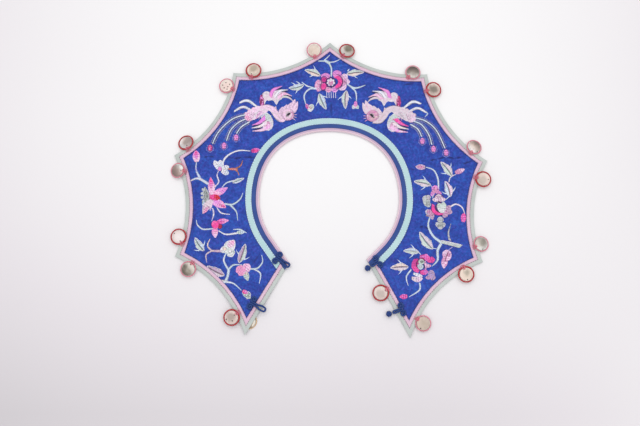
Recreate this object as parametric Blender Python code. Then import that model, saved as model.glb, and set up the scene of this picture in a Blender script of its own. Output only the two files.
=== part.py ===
"""Embroidered bib collar, laid flat: a scalloped satin panel, applied bands, cord frogs, sewn discs.

Metres, +Z up. +X is to the right and +Y towards the back of the neck, seen from above; the front
opening faces -Y. The underside lies on z = 0, and the origin is the middle of the collar's box.
Lengths in the tables below are millimetres, and every function turns them into metres with MM.
"""
import math

import bmesh
import bpy
from mathutils import Matrix, Vector

MM = 0.001

# ---- the cut, in millimetres ----------------------------------------------------------------
# The nine points of the outer edge, from the left front point round the back to the right one.
# "dip" is how far the scallop that follows bows in below the straight line to the next point.
POINTS = [
    # name           x       y      dip
    ("front_left", -85.9, -154.8, 11.4),
    ("side_left_low", -158.4, -75.3, 11.4),
    ("side_left_high", -163.0, 31.5, 12.6),
    ("back_left", -103.4, 123.0, 11.7),
    ("back", -0.6, 157.5, 11.9),
    ("back_right", 102.6, 121.5, 12.4),
    ("side_right_high", 162.7, 25.5, 11.5),
    ("side_right_low", 153.6, -80.9, 12.2),
    ("front_right", 78.6, -157.5, 0.0),
]
# Where the outer line of each straight front edge meets the neck's bands.
FRONT_TOP_LEFT = (-46.1, -87.9)
FRONT_TOP_RIGHT = (41.2, -87.9)

NECK_CENTRE = (-1.9, -14.0)
NECK_RADIUS = 72.0
NECK_SQUARING = 2.5          # the round is this much wider half way between back and sides
NECK_ROUND_LEFT = 125.0      # degrees from the back at which the edge runs on straight
NECK_ROUND_RIGHT = 135.0

# ---- bands: widths on the face of the cloth --------------------------------------------------
PIPING_WIDTH = 3.4
NAVY_WIDTH = 4.4
AQUA_WIDTH = 6.5
CELADON_WIDTH = 3.8
PINK_WIDTH = 3.7

# ---- thicknesses -----------------------------------------------------------------------------
GAP = 0.3                    # between neighbouring pieces
PANEL_THICKNESS = 1.2
BAND_THICKNESS = 1.0
BAND_LOW = PANEL_THICKNESS + GAP
BAND_TOP = BAND_LOW + BAND_THICKNESS
WRAP_LOW = 0.3               # lower edge of the bindings, just off the table
EDGE_WRAP = BAND_THICKNESS + GAP    # how far the bindings stand outside the panel

# ---- sampling --------------------------------------------------------------------------------
STEPS_PER_SCALLOP = 8
STEPS_PER_FRONT = 4
NECK_STEPS = STEPS_PER_SCALLOP * (len(POINTS) - 1)
PANEL_ROWS = 5
SHARP_ANGLE = 40.0           # degrees; flatter edges are shaded smooth
MERGE = 0.01                 # a turned solid's points nearer than this are one point

# ---- discs -----------------------------------------------------------------------------------
DISC_RADIUS = 6.7
DISC_THICKNESS = 0.6
RIM_BORE_RADIUS = DISC_RADIUS + GAP
RIM_CORDS = {"red": 1.5, "pink": 1.1}
DISC_SEGMENTS = 16
RIM_SIDES = 5
SEAT_CHECKS = 64             # points of each circle that are tested against cloth and table
# Each face's profile: (share of the radius, height above the rim's plane), from the middle out.
FACES = {
    "dome": [(0.0, 1.2), (0.55, 0.9), (1.0, 0.0)],
    "dish": [(0.0, -0.7), (0.6, -0.7), (1.0, 0.0)],
    "flat": [(0.0, 0.2), (0.8, 0.2), (1.0, 0.0)],
}
# "lean" is the direction, in degrees from +X, towards which the disc slopes down by "tilt".
DISCS = [
    # name    x      y      lean  tilt  face    rim
    ("01", -17.6, 148.2, 270, 8, "dome", "pink"),
    ("02", 17.6, 147.9, 65, 10, "dish", "red"),
    ("03", -82.0, 125.3, 100, 3, "dish", "red"),
    ("04", -110.3, 108.0, 200, 8, "flat", "pink"),
    ("05", -151.3, 45.1, 145, 17, "dish", "red"),
    ("06", -158.6, 15.0, 180, 18, "dome", "pink"),
    ("07", -155.2, -55.1, 200, 5, "flat", "red"),
    ("08", -144.5, -88.4, 225, 4, "dome", "pink"),
    ("09", -99.4, -137.4, 200, 6, "flat", "red"),
    ("10", -82.3, -140.6, 0, 0, "flat", "pink"),
    ("11", 87.5, 123.2, 90, 3, "dome", "pink"),
    ("12", 108.8, 103.5, 340, 8, "dish", "red"),
    ("13", 149.4, 40.4, 40, 12, "dome", "pink"),
    ("14", 157.4, 5.5, 0, 3, "dish", "red"),
    ("15", 152.6, -62.4, 0, 11, "dome", "pink"),
    ("16", 136.1, -93.8, 330, 4, "flat", "red"),
    ("17", 49.6, -112.7, 200, 3, "dish", "red"),
    ("18", 91.6, -143.1, 320, 4, "flat", "pink"),
]
TABLE_CLEARANCE = 0.05
TUCKED_DISC = "10"           # this one lies flat under the left front point
LIFT_PLATEAU = 12.0          # the cloth lies level over it out to this radius
LIFT_REACH = 58.0            # and is back on the table at this one

# ---- frogs -----------------------------------------------------------------------------------
FROG_CORD = 1.9
FROG_STEP = 1.1              # spacing of the points along the cord
FROG_MIDDLE = BAND_TOP + GAP + FROG_CORD / 2
COIL_CORE = 1.05
COIL_PITCH = 2.15
COIL_TURNS = 0.64
COIL_STEPS = 10
STEM_HALF = 1.1              # half the distance between the stem's two cords
STEM_START = 1.8             # the stem's cords run parallel from here
STEM_SHARE = 0.62            # to this share of the way to the bend
BEND_STEPS = 10
QUARTER_TURN = 90
LOOP_OPEN = 130              # degrees each way from the loop's far end to where its sides close in
LOOP_RADIUS = 2.15
LOOP_DROOP = 0.5             # a loop sinks this much for each millimetre beyond the cloth's edge
KNOT_RADIUS = 3.1
KNOT_SEGMENTS = 12
# "x, y" is the middle between the two coils; "turn" is the way the frog points, degrees from +X.
# "reach" runs from there to the middle of the loop's end or of the knot, "spread" is the coils'
# half distance, and "eye" is the length of a loop's straight sides.
FROGS = [
    # name      x      y       turn    reach  spread  end  eye
    ("upper", -54.1, -77.1, -36.0, 12.2, 3.6, "loop", 0.0),
    ("lower", -79.2, -123.0, -29.0, 12.9, 3.6, "loop", 3.6),
    ("upper", 46.9, -80.9, 213.0, 11.9, 3.6, "stem", 0.0),
    ("lower", 70.2, -129.3, 199.0, 13.3, 3.6, "stem", 0.0),
]

# ---- finishes: base colour, roughness, metallic ------------------------------------------------
FINISHES = {
    "blue_satin": ((0.035, 0.075, 0.47), 0.42, 0.0),
    "pink_tape": ((0.86, 0.52, 0.62), 0.6, 0.0),
    "celadon_tape": ((0.55, 0.68, 0.62), 0.6, 0.0),
    "aqua_ribbon": ((0.50, 0.76, 0.72), 0.55, 0.0),
    "navy_strip": ((0.03, 0.09, 0.29), 0.6, 0.0),
    "pink_piping": ((0.86, 0.55, 0.60), 0.6, 0.0),
    "navy_cord": ((0.015, 0.035, 0.14), 0.7, 0.0),
    "disc_metal": ((0.74, 0.70, 0.66), 0.28, 1.0),
    "red_cord": ((0.42, 0.03, 0.035), 0.6, 0.0),
    "pink_cord": ((0.72, 0.30, 0.38), 0.6, 0.0),
}


# ---- plane geometry, all in millimetres ------------------------------------------------------
def unit(vector):
    return vector / vector.length


def left_of(direction):
    """The direction turned a quarter turn to the left."""
    return Vector((-direction.y, direction.x))


class Line:
    """A straight edge. Its left side is the cloth's side."""

    def __init__(self, start, end):
        self.start = Vector(start)
        self.along = unit(Vector(end) - self.start)

    def moved_in(self, inset):
        shift = left_of(self.along) * inset
        return Line(self.start + shift, self.start + shift + self.along)

    def point(self, distance):
        return self.start + self.along * distance

    def depth(self, point):
        """How far a point lies on the cloth's side of the line."""
        return left_of(self.along).dot(point - self.start)

    def meets_line(self, other):
        offset = other.start - self.start
        return self.point(offset.cross(other.along) / self.along.cross(other.along))

    def meets_circle(self, centre, radius, near):
        """The crossing with a circle that lies nearest to a given point."""
        foot = (centre - self.start).dot(self.along)
        away = (centre - self.point(foot)).length
        half = math.sqrt(radius * radius - away * away)
        return min((self.point(foot - half), self.point(foot + half)), key=lambda p: (p - near).length)


def circle_crossing(centre_a, radius_a, centre_b, radius_b, near):
    """The crossing of two circles that lies nearest to a given point."""
    span = centre_b - centre_a
    along = (span.length_squared + radius_a ** 2 - radius_b ** 2) / (2 * span.length)
    half = math.sqrt(radius_a ** 2 - along ** 2)
    foot = centre_a + unit(span) * along
    side = left_of(unit(span)) * half
    return min((foot + side, foot - side), key=lambda p: (p - near).length)


def arc_points(centre, radius, start, end, steps):
    """Points on the circle from start towards end, without the end itself."""
    first = math.atan2(start.y - centre.y, start.x - centre.x)
    last = math.atan2(end.y - centre.y, end.x - centre.x)
    sweep = (last - first + math.pi) % (2 * math.pi) - math.pi
    angles = [first + sweep * i / steps for i in range(steps)]
    return [centre + radius * Vector((math.cos(a), math.sin(a))) for a in angles]


# ---- the outer edge --------------------------------------------------------------------------
# Going round from the left front point by the back to the right one is clockwise, so the cloth
# lies on the right of each scallop, and each scallop's circle has its centre outside the cloth.
def scallop_circles():
    circles = []
    for (_, x0, y0, dip), (_, x1, y1, _) in zip(POINTS, POINTS[1:]):
        start, end = Vector((x0, y0)), Vector((x1, y1))
        half = (end - start).length / 2
        radius = (half * half + dip * dip) / (2 * dip)
        outward = left_of(unit(end - start))
        circles.append(((start + end) / 2 + outward * (radius - dip), radius))
    return circles


CIRCLES = scallop_circles()
TIPS = [Vector((x, y)) for _, x, y, _ in POINTS]
# Both front edges run so that the cloth is on their left.
FRONT_LEFT = Line(TIPS[0], FRONT_TOP_LEFT)
FRONT_RIGHT = Line(FRONT_TOP_RIGHT, TIPS[-1])


def outer_corners(inset):
    """The nine points of the outer edge moved in by inset, with mitred corners."""
    corners = [FRONT_LEFT.moved_in(inset).meets_circle(CIRCLES[0][0], CIRCLES[0][1] + inset, TIPS[0])]
    for (centre_a, radius_a), (centre_b, radius_b), tip in zip(CIRCLES, CIRCLES[1:], TIPS[1:]):
        corners.append(circle_crossing(centre_a, radius_a + inset, centre_b, radius_b + inset, tip))
    centre, radius = CIRCLES[-1]
    corners.append(FRONT_RIGHT.moved_in(inset).meets_circle(centre, radius + inset, TIPS[-1]))
    return corners


def scallop_edge(inset):
    """Points along the eight scallops, moved in by inset."""
    corners = outer_corners(inset)
    edge = []
    for (centre, radius), start, end in zip(CIRCLES, corners, corners[1:]):
        edge += arc_points(centre, radius + inset, start, end, STEPS_PER_SCALLOP)
    return edge + [corners[-1]]


# ---- the neck edge ---------------------------------------------------------------------------
def neck_round_point(degrees, offset):
    """A point of the neck's round, at an angle from the back, positive towards the left."""
    angle = math.radians(degrees)
    squaring = NECK_SQUARING * math.sin(2 * angle) ** 2 if abs(degrees) < 90 else 0.0
    radius = NECK_RADIUS + squaring + offset
    return Vector(NECK_CENTRE) + radius * Vector((-math.sin(angle), math.cos(angle)))


def neck_straight(degrees, side, offset):
    """The straight run-on of the neck edge at one end; side is +1 left, -1 right."""
    angle = math.radians(degrees) * side
    start = neck_round_point(degrees * side, offset)
    along = Vector((-math.cos(angle), -math.sin(angle))) * side
    return Line(start, start + along)


def neck_end(side, offset, front_inset=0.0):
    """Where the neck edge, moved out by offset, meets a front edge moved in by front_inset."""
    degrees, front = (NECK_ROUND_LEFT, FRONT_LEFT) if side > 0 else (NECK_ROUND_RIGHT, FRONT_RIGHT)
    return neck_straight(degrees, side, offset).meets_line(front.moved_in(front_inset))


def neck_edge(offset, front_inset=0.0):
    """Evenly spaced points along the neck, from the left front edge to the right one."""
    dense = [neck_end(1, offset, front_inset)]
    degrees = NECK_ROUND_LEFT
    while degrees >= -NECK_ROUND_RIGHT:
        dense.append(neck_round_point(degrees, offset))
        degrees -= 1.0
    dense.append(neck_end(-1, offset, front_inset))
    return spaced(dense, steps=NECK_STEPS)


def spaced(points, spacing=1.0, steps=None):
    """Points at equal distances along a chain, both ends included."""
    run = [0.0]
    for a, b in zip(points, points[1:]):
        run.append(run[-1] + (b - a).length)
    steps = steps or round(run[-1] / spacing)
    result, leg = [], 0
    for i in range(steps + 1):
        want = run[-1] * i / steps
        while leg < len(points) - 2 and run[leg + 1] < want:
            leg += 1
        share = (want - run[leg]) / (run[leg + 1] - run[leg])
        result.append(points[leg].lerp(points[leg + 1], share))
    return result


# ---- the bands' edges ------------------------------------------------------------------------
NECK_BANDS_WIDTH = PIPING_WIDTH + NAVY_WIDTH + AQUA_WIDTH
BORDER_WIDTH = CELADON_WIDTH + PINK_WIDTH


def border_edge(inset):
    """The outer edge moved in by inset, with both front edges up to the neck's navy strip."""
    edge = scallop_edge(inset)
    top_left = neck_end(1, PIPING_WIDTH + NAVY_WIDTH + GAP, inset)
    top_right = neck_end(-1, PIPING_WIDTH + NAVY_WIDTH + GAP, inset)
    shares = [i / STEPS_PER_FRONT for i in range(STEPS_PER_FRONT)]
    left = [top_left.lerp(edge[0], s) for s in shares]
    right = [top_right.lerp(edge[-1], s) for s in shares]
    return left + edge + right[::-1]


# ---- the cloth's rise over the tucked disc -----------------------------------------------------
TUCKED_PLACE = next(Vector((x, y)) for name, x, y, *_ in DISCS if name == TUCKED_DISC)
TUCKED_RISE = TABLE_CLEARANCE + RIM_CORDS["pink"] + GAP


def lift(point):
    """How far the cloth is raised off the table at a point."""
    away = math.hypot(point.x - TUCKED_PLACE.x, point.y - TUCKED_PLACE.y)
    share = min(max((LIFT_REACH - away) / (LIFT_REACH - LIFT_PLATEAU), 0.0), 1.0)
    return TUCKED_RISE * share * share * (3 - 2 * share)


# ---- meshes ----------------------------------------------------------------------------------
def finish(name):
    colour, roughness, metallic = FINISHES[name]
    material = bpy.data.materials.get(name) or bpy.data.materials.new(name)
    material.use_nodes = True
    shader = material.node_tree.nodes["Principled BSDF"]
    shader.inputs["Base Color"].default_value = (*colour, 1.0)
    shader.inputs["Roughness"].default_value = roughness
    shader.inputs["Metallic"].default_value = metallic
    material.diffuse_color = (*colour, 1.0)
    return material


def add_object(name, data, material):
    data.materials.append(finish(material))
    obj = bpy.data.objects.new(name, data)
    bpy.context.collection.objects.link(obj)
    return obj


def add_solid(name, bm, material):
    bmesh.ops.recalc_face_normals(bm, faces=bm.faces)
    mesh = bpy.data.meshes.new(name)
    bm.to_mesh(mesh)
    bm.free()
    mesh.shade_smooth()
    mesh.set_sharp_from_angle(angle=math.radians(SHARP_ANGLE))
    return add_object(name, mesh, material)


def raised(point, height):
    """A point of the cloth in metres: its place in the cut, at a height, plus the local lift."""
    return Vector((point.x, point.y, height + lift(point))) * MM


def loft(rails):
    """A closed sleeve: row after row of points, joined round the section, its two ends open."""
    bm = bmesh.new()
    rows = [[bm.verts.new(raised(p, height)) for p in edge] for edge, height in rails]
    for row, following in zip(rows, rows[1:] + rows[:1]):
        for i in range(len(row) - 1):
            bm.faces.new((row[i], row[i + 1], following[i + 1], following[i]))
    return bm, rows


def band(name, rails, material):
    """A strip of cloth whose section's corners run along the rails: (edge points, height)."""
    bm, rows = loft(rails)
    for end in (0, -1):
        bm.faces.new([row[end] for row in rows])
    return add_solid(name, bm, material)


def flat_band(name, near, far, material):
    """A band on the panel's face between two edges."""
    return band(name, [(near, BAND_LOW), (far, BAND_LOW), (far, BAND_TOP), (near, BAND_TOP)], material)


def wrapped_band(name, outside, fold, far, material):
    """A band from the outside edge to far, folded down over the panel's edge; fold is the
    inner side of the part that stands on edge."""
    rails = [
        (outside, WRAP_LOW),
        (fold, WRAP_LOW),
        (fold, BAND_LOW),
        (far, BAND_LOW),
        (far, BAND_TOP),
        (outside, BAND_TOP),
    ]
    return band(name, rails, material)


def satin_panel():
    """The ground panel: ruled between the neck edge and the scallops."""
    neck = neck_edge(EDGE_WRAP, EDGE_WRAP)
    outer = scallop_edge(EDGE_WRAP)
    lines = []
    for r in range(PANEL_ROWS + 1):
        lines.append([a.lerp(b, r / PANEL_ROWS) for a, b in zip(neck, outer)])
    under = [(line, 0.0) for line in lines]
    top = [(line, PANEL_THICKNESS) for line in reversed(lines)]
    bm, rows = loft(under + top)
    for end in (0, -1):
        for r in range(PANEL_ROWS):
            bm.faces.new((rows[r][end], rows[r + 1][end], rows[-2 - r][end], rows[-1 - r][end]))
    return add_solid("satin_panel", bm, "blue_satin")


def outer_bands():
    pink_start = CELADON_WIDTH + GAP
    wrapped_band(
        "celadon_binding",
        border_edge(0.0),
        border_edge(BAND_THICKNESS),
        border_edge(CELADON_WIDTH),
        "celadon_tape",
    )
    flat_band("pink_border", border_edge(pink_start), border_edge(BORDER_WIDTH), "pink_tape")


def neck_bands():
    """The piping and the navy strip run to the front edges, the ribbon to the border's tapes."""
    navy_end = PIPING_WIDTH + NAVY_WIDTH
    tapes = BORDER_WIDTH + GAP
    wrapped_band(
        "pink_neck_piping",
        neck_edge(0.0),
        neck_edge(BAND_THICKNESS),
        neck_edge(PIPING_WIDTH),
        "pink_piping",
    )
    flat_band("navy_neck_strip", neck_edge(PIPING_WIDTH + GAP), neck_edge(navy_end), "navy_strip")
    ribbon = [neck_edge(offset, tapes) for offset in (navy_end + GAP, NECK_BANDS_WIDTH)]
    flat_band("aqua_ribbon", *ribbon, "aqua_ribbon")


# ---- discs -----------------------------------------------------------------------------------
def turned(profile, closed):
    """A solid of revolution about Z from (radius, height) rows. A closed profile comes back to
    its first row; an open one begins and ends on the axis."""
    bm = bmesh.new()
    verts = [bm.verts.new(Vector((radius, 0, height)) * MM) for radius, height in profile]
    following = verts[1:] + verts[:1] if closed else verts[1:]
    edges = [bm.edges.new(pair) for pair in zip(verts, following)]
    bmesh.ops.spin(
        bm, geom=verts + edges, cent=(0, 0, 0), axis=(0, 0, 1), angle=2 * math.pi, steps=DISC_SEGMENTS
    )
    bmesh.ops.remove_doubles(bm, verts=bm.verts, dist=MERGE * MM)
    return bm


def disc_solid(face):
    top = [(share * DISC_RADIUS, height + DISC_THICKNESS / 2) for share, height in FACES[face]]
    under = [(radius, height - DISC_THICKNESS) for radius, height in reversed(top)]
    return turned(top + under, closed=False)


def rim_solid(cord):
    """The cord rim: a ring of the cord's thickness round the disc."""
    angles = [2 * math.pi * k / RIM_SIDES for k in range(RIM_SIDES)]
    middle = RIM_BORE_RADIUS + cord / 2
    return turned([(middle + cord / 2 * math.cos(a), cord / 2 * math.sin(a)) for a in angles], closed=True)


def inside(point, outline):
    """Whether a point lies within an outline, by counting the edges crossed on its right."""
    crossed = False
    for a, b in zip(outline, outline[1:] + outline[:1]):
        if (a.y > point.y) != (b.y > point.y):
            if point.x < a.x + (point.y - a.y) * (b.x - a.x) / (b.y - a.y):
                crossed = not crossed
    return crossed


def disc_place(x, y, lean, tilt, face, cord, outline):
    """The disc's matrix: sloping down towards lean, let down until it meets cloth or table."""
    towards = math.radians(lean)
    turn = Matrix.Rotation(math.radians(tilt), 4, Vector((-math.sin(towards), math.cos(towards), 0)))
    circles = [(share * DISC_RADIUS, height - DISC_THICKNESS / 2) for share, height in FACES[face]]
    circles += [(RIM_BORE_RADIUS + cord / 2, -cord / 2), (RIM_BORE_RADIUS + cord, 0.0)]
    height = 0.0
    for radius, low in circles:
        for i in range(SEAT_CHECKS):
            angle = 2 * math.pi * i / SEAT_CHECKS
            spot = turn @ Vector((radius * math.cos(angle), radius * math.sin(angle), low))
            over = Vector((x + spot.x, y + spot.y))
            support = BAND_TOP + GAP + lift(over) if inside(over, outline) else TABLE_CLEARANCE
            height = max(height, support - spot.z)
    return Matrix.Translation(Vector((x, y, height)) * MM) @ turn


def discs():
    outline = border_edge(-GAP)
    for name, x, y, lean, tilt, face, colour in DISCS:
        cord = RIM_CORDS[colour]
        if name == TUCKED_DISC:
            place = Matrix.Translation(Vector((x, y, TABLE_CLEARANCE + cord / 2)) * MM)
        else:
            place = disc_place(x, y, lean, tilt, face, cord, outline)
        add_solid("disc_" + name, disc_solid(face), "disc_metal").matrix_world = place
        add_solid("rim_" + name, rim_solid(cord), colour + "_cord").matrix_world = place


# ---- frogs -----------------------------------------------------------------------------------
def coil(spread, side):
    """A flat coil's route in the frog's own plane, from its core out to where the stem starts."""
    route = []
    for i in range(COIL_STEPS + 1):
        share = i / COIL_STEPS
        radius = COIL_CORE + COIL_PITCH * COIL_TURNS * share
        angle = side * (2 * math.pi * COIL_TURNS * (share - 1) - math.pi / 2)
        route.append(Vector((radius * math.cos(angle), side * spread + radius * math.sin(angle))))
    return route


def frog_route(reach, spread, end, eye):
    """The cord in its own plane: out of one coil, along the stem, round the end and back."""
    if end == "loop":
        centre, radius, widest = reach, LOOP_RADIUS, LOOP_OPEN
    else:
        centre = reach - KNOT_RADIUS - GAP - FROG_CORD / 2 - STEM_HALF
        radius, widest = STEM_HALF, QUARTER_TURN
    bend = []
    for i in range(BEND_STEPS + 1):
        degrees = widest * (1 - 2 * i / BEND_STEPS)
        middle = centre if abs(degrees) <= QUARTER_TURN else centre - eye
        angle = math.radians(degrees)
        bend.append(Vector((middle + radius * math.cos(angle), radius * math.sin(angle))))
    out = [Vector((STEM_START, STEM_HALF)), Vector(((centre - eye) * STEM_SHARE, STEM_HALF))]
    back = [Vector((p.x, -p.y)) for p in reversed(out)]
    return coil(spread, 1) + out + bend + back + coil(spread, -1)[::-1]


def softened(points):
    """The same chain with each corner cut at a quarter of its legs."""
    cut = [points[0]]
    for a, b in zip(points, points[1:]):
        cut += [a.lerp(b, 0.25), a.lerp(b, 0.75)]
    return cut + [points[-1]]


def cord(name, route, thickness, material):
    """A round cord with closed ends along a route in millimetres."""
    curve = bpy.data.curves.new(name, "CURVE")
    curve.dimensions = "3D"
    curve.bevel_depth = thickness / 2 * MM
    curve.bevel_resolution = 1
    curve.use_fill_caps = True
    spline = curve.splines.new("POLY")
    spline.points.add(len(route) - 1)
    for point, place in zip(spline.points, route):
        point.co = (*(place * MM), 1.0)
    return add_object(name, curve, material)


def knot_ball(name, place):
    bm = bmesh.new()
    segments = {"u_segments": KNOT_SEGMENTS, "v_segments": KNOT_SEGMENTS // 2 + 1}
    bmesh.ops.create_uvsphere(bm, radius=KNOT_RADIUS * MM, **segments)
    ball = add_solid(name, bm, "navy_cord")
    ball.location = Vector((place.x, place.y, KNOT_RADIUS + TABLE_CLEARANCE)) * MM


def frogs():
    for name, x, y, turn, reach, spread, end, eye in FROGS:
        facing = Matrix.Rotation(math.radians(turn), 2)
        route = []
        for local in spaced(softened(frog_route(reach, spread, end, eye)), FROG_STEP):
            spot = Vector((x, y)) + facing @ local
            beyond = -FRONT_LEFT.depth(spot) - FROG_CORD
            droop = LOOP_DROOP * max(beyond, 0.0) if end == "loop" else 0.0
            route.append(Vector((spot.x, spot.y, FROG_MIDDLE + lift(spot) - droop)))
        cord(f"frog_{end}_{name}", route, FROG_CORD, "navy_cord")
        if end == "stem":
            knot_ball("knot_ball_" + name, Vector((x, y)) + facing @ Vector((reach, 0)))


def main():
    for obj in list(bpy.data.objects):
        bpy.data.objects.remove(obj)
    satin_panel()
    outer_bands()
    neck_bands()
    discs()
    frogs()


main()
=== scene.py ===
"""Looks of the embroidered bib collar: cloth, bands, embroidery, frogs and discs round the frame.

The scene is in metres. The tables and the plane geometry below are in millimetres, in the frame
shared with the solids. The collar lies on z = 0 and the camera sees it from the photograph's angle.
"""
import math
import random

import bmesh
import bpy
import numpy as np
from mathutils import Matrix, Vector


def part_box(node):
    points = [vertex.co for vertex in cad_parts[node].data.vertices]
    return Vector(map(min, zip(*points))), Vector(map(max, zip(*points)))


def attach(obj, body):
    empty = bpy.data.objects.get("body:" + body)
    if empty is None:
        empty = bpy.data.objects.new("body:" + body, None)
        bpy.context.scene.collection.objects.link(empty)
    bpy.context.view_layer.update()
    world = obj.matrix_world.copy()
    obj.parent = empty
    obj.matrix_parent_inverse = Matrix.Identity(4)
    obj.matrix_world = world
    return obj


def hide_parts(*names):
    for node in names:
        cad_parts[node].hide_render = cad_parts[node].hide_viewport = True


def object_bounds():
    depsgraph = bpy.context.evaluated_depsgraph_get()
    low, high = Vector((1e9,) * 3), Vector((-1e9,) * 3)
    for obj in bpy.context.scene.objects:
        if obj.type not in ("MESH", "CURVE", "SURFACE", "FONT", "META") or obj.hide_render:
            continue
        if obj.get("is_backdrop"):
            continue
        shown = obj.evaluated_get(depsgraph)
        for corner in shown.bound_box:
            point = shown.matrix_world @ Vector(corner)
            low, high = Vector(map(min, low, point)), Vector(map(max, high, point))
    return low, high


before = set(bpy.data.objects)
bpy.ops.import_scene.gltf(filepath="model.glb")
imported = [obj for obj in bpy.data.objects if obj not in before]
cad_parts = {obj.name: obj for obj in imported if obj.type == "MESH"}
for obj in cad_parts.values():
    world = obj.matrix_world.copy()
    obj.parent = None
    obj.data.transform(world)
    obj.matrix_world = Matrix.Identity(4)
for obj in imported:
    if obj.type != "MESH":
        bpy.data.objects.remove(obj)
CAD_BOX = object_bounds()

MM = 0.001

# ---- the cut, as in the part's source ----
POINTS = [  # x, y and the dip of the scallop that follows
    (-85.9, -154.8, 11.4),
    (-158.4, -75.3, 11.4),
    (-163.0, 31.5, 12.6),
    (-103.4, 123.0, 11.7),
    (-0.6, 157.5, 11.9),
    (102.6, 121.5, 12.4),
    (162.7, 25.5, 11.5),
    (153.6, -80.9, 12.2),
    (78.6, -157.5, 0.0),
]
FRONT_TOP_LEFT = (-46.1, -87.9)
FRONT_TOP_RIGHT = (41.2, -87.9)
NECK_CENTRE = Vector((-1.9, -14.0))
NECK_RADIUS = 72.0
NECK_SQUARING = 2.5
NECK_ROUND = {1: 125.0, -1: 135.0}      # degrees from the back; +1 is the left side
PIPING_WIDTH = 3.4
NAVY_WIDTH = 4.4
AQUA_WIDTH = 6.5
CELADON_WIDTH = 3.8
PINK_WIDTH = 3.7
BORDER_WIDTH = CELADON_WIDTH + PINK_WIDTH
GAP = 0.3
PANEL_TOP = 1.2
BAND_LOW, BAND_TOP = 1.5, 2.5           # a band's under side and its face
WRAP_LOW = 0.3                          # where a binding ends below the edge it wraps
EDGE_WRAP = 1.3                         # how far the satin stays inside the bindings' outer side
NECK_BANDS = PIPING_WIDTH + NAVY_WIDTH + AQUA_WIDTH
TUCKED_PLACE = (-82.3, -140.6)          # the disc that lies under the left front point
TUCKED_RISE = 1.45                      # how far that disc lifts the cloth
LIFT_PLATEAU, LIFT_REACH = 12.0, 58.0   # lifted in full up to here, and not at all beyond

# ---- the camera's view, which also places what the photograph shows at a pixel ----
IMAGE_WIDTH, IMAGE_HEIGHT = 640, 426
LENS, SENSOR = 50.0, 36.0
FOCAL = LENS / SENSOR * IMAGE_WIDTH
TILT = math.radians(13.0)
DISTANCE = 912.0
AIM = Vector((-11.3, -30.0, 2.0))       # what the middle of the image looks at

# ---- how finely edges and the panel are divided ----
SCALLOP_STEPS = 72
FRONT_STEPS = 40
NECK_STEPS = 400
PANEL_COLUMNS_PER_SCALLOP = 56
PANEL_ROWS = 54
RANDOM = random.Random(18)


def spot(px, py):
    """The place on the cloth, in millimetres, that the photograph shows at a pixel."""
    up = IMAGE_HEIGHT / 2 - py
    y = up * DISTANCE / (FOCAL * math.cos(TILT) - up * math.sin(TILT))
    x = (px - IMAGE_WIDTH / 2) * (DISTANCE + y * math.sin(TILT)) / FOCAL
    return Vector((x + AIM.x, y + AIM.y))


# ---- plane geometry ----
def left_of(direction):
    return Vector((-direction.y, direction.x))


def heading(degrees):
    """The level direction at that many degrees from +X."""
    angle = math.radians(degrees)
    return Vector((math.cos(angle), math.sin(angle), 0.0))


class Line:
    """A straight edge. Its left side is the cloth's side."""

    def __init__(self, start, end):
        self.start = Vector(start)
        self.along = (Vector(end) - self.start).normalized()

    def moved_in(self, inset):
        shift = left_of(self.along) * inset
        return Line(self.start + shift, self.start + shift + self.along)

    def point(self, distance):
        return self.start + self.along * distance

    def depth(self, point):
        return left_of(self.along).dot(point - self.start)

    def meets_line(self, other):
        offset = other.start - self.start
        return self.point(offset.cross(other.along) / self.along.cross(other.along))

    def meets_circle(self, centre, radius, near):
        foot = (centre - self.start).dot(self.along)
        away = (centre - self.point(foot)).length
        half = math.sqrt(radius * radius - away * away)
        ends = self.point(foot - half), self.point(foot + half)
        return min(ends, key=lambda p: (p - near).length)


def circle_crossing(centre_a, radius_a, centre_b, radius_b, near):
    span = centre_b - centre_a
    along = (span.length_squared + radius_a ** 2 - radius_b ** 2) / (2 * span.length)
    half = math.sqrt(radius_a ** 2 - along ** 2)
    foot = centre_a + span.normalized() * along
    side = left_of(span.normalized()) * half
    return min((foot + side, foot - side), key=lambda p: (p - near).length)


def arc_points(centre, radius, start, end, steps):
    first = math.atan2(start.y - centre.y, start.x - centre.x)
    last = math.atan2(end.y - centre.y, end.x - centre.x)
    sweep = (last - first + math.pi) % (2 * math.pi) - math.pi
    angles = [first + sweep * i / steps for i in range(steps)]
    return [centre + radius * Vector((math.cos(a), math.sin(a))) for a in angles]


def scallop_circles():
    circles = []
    for (*start, dip), end in zip(POINTS, POINTS[1:]):
        start, end = Vector(start), Vector(end[:2])
        half = (end - start).length / 2
        radius = (half * half + dip * dip) / (2 * dip)
        outward = left_of((end - start).normalized())
        circles.append(((start + end) / 2 + outward * (radius - dip), radius))
    return circles


CIRCLES = scallop_circles()
TIPS = [Vector((x, y)) for x, y, _ in POINTS]
FRONT_LEFT = Line(TIPS[0], FRONT_TOP_LEFT)
FRONT_RIGHT = Line(FRONT_TOP_RIGHT, TIPS[-1])


def outer_corners(inset):
    centre, radius = CIRCLES[0]
    corners = [FRONT_LEFT.moved_in(inset).meets_circle(centre, radius + inset, TIPS[0])]
    for (centre_a, radius_a), (centre_b, radius_b), tip in zip(CIRCLES, CIRCLES[1:], TIPS[1:]):
        corners.append(circle_crossing(centre_a, radius_a + inset, centre_b, radius_b + inset, tip))
    centre, radius = CIRCLES[-1]
    corners.append(FRONT_RIGHT.moved_in(inset).meets_circle(centre, radius + inset, TIPS[-1]))
    return corners


def scallop_edge(inset, steps=SCALLOP_STEPS):
    """Points along the eight scallops, moved in by inset."""
    corners = outer_corners(inset)
    edge = []
    for (centre, radius), start, end in zip(CIRCLES, corners, corners[1:]):
        edge += arc_points(centre, radius + inset, start, end, steps)
    return edge + [corners[-1]]


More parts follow.
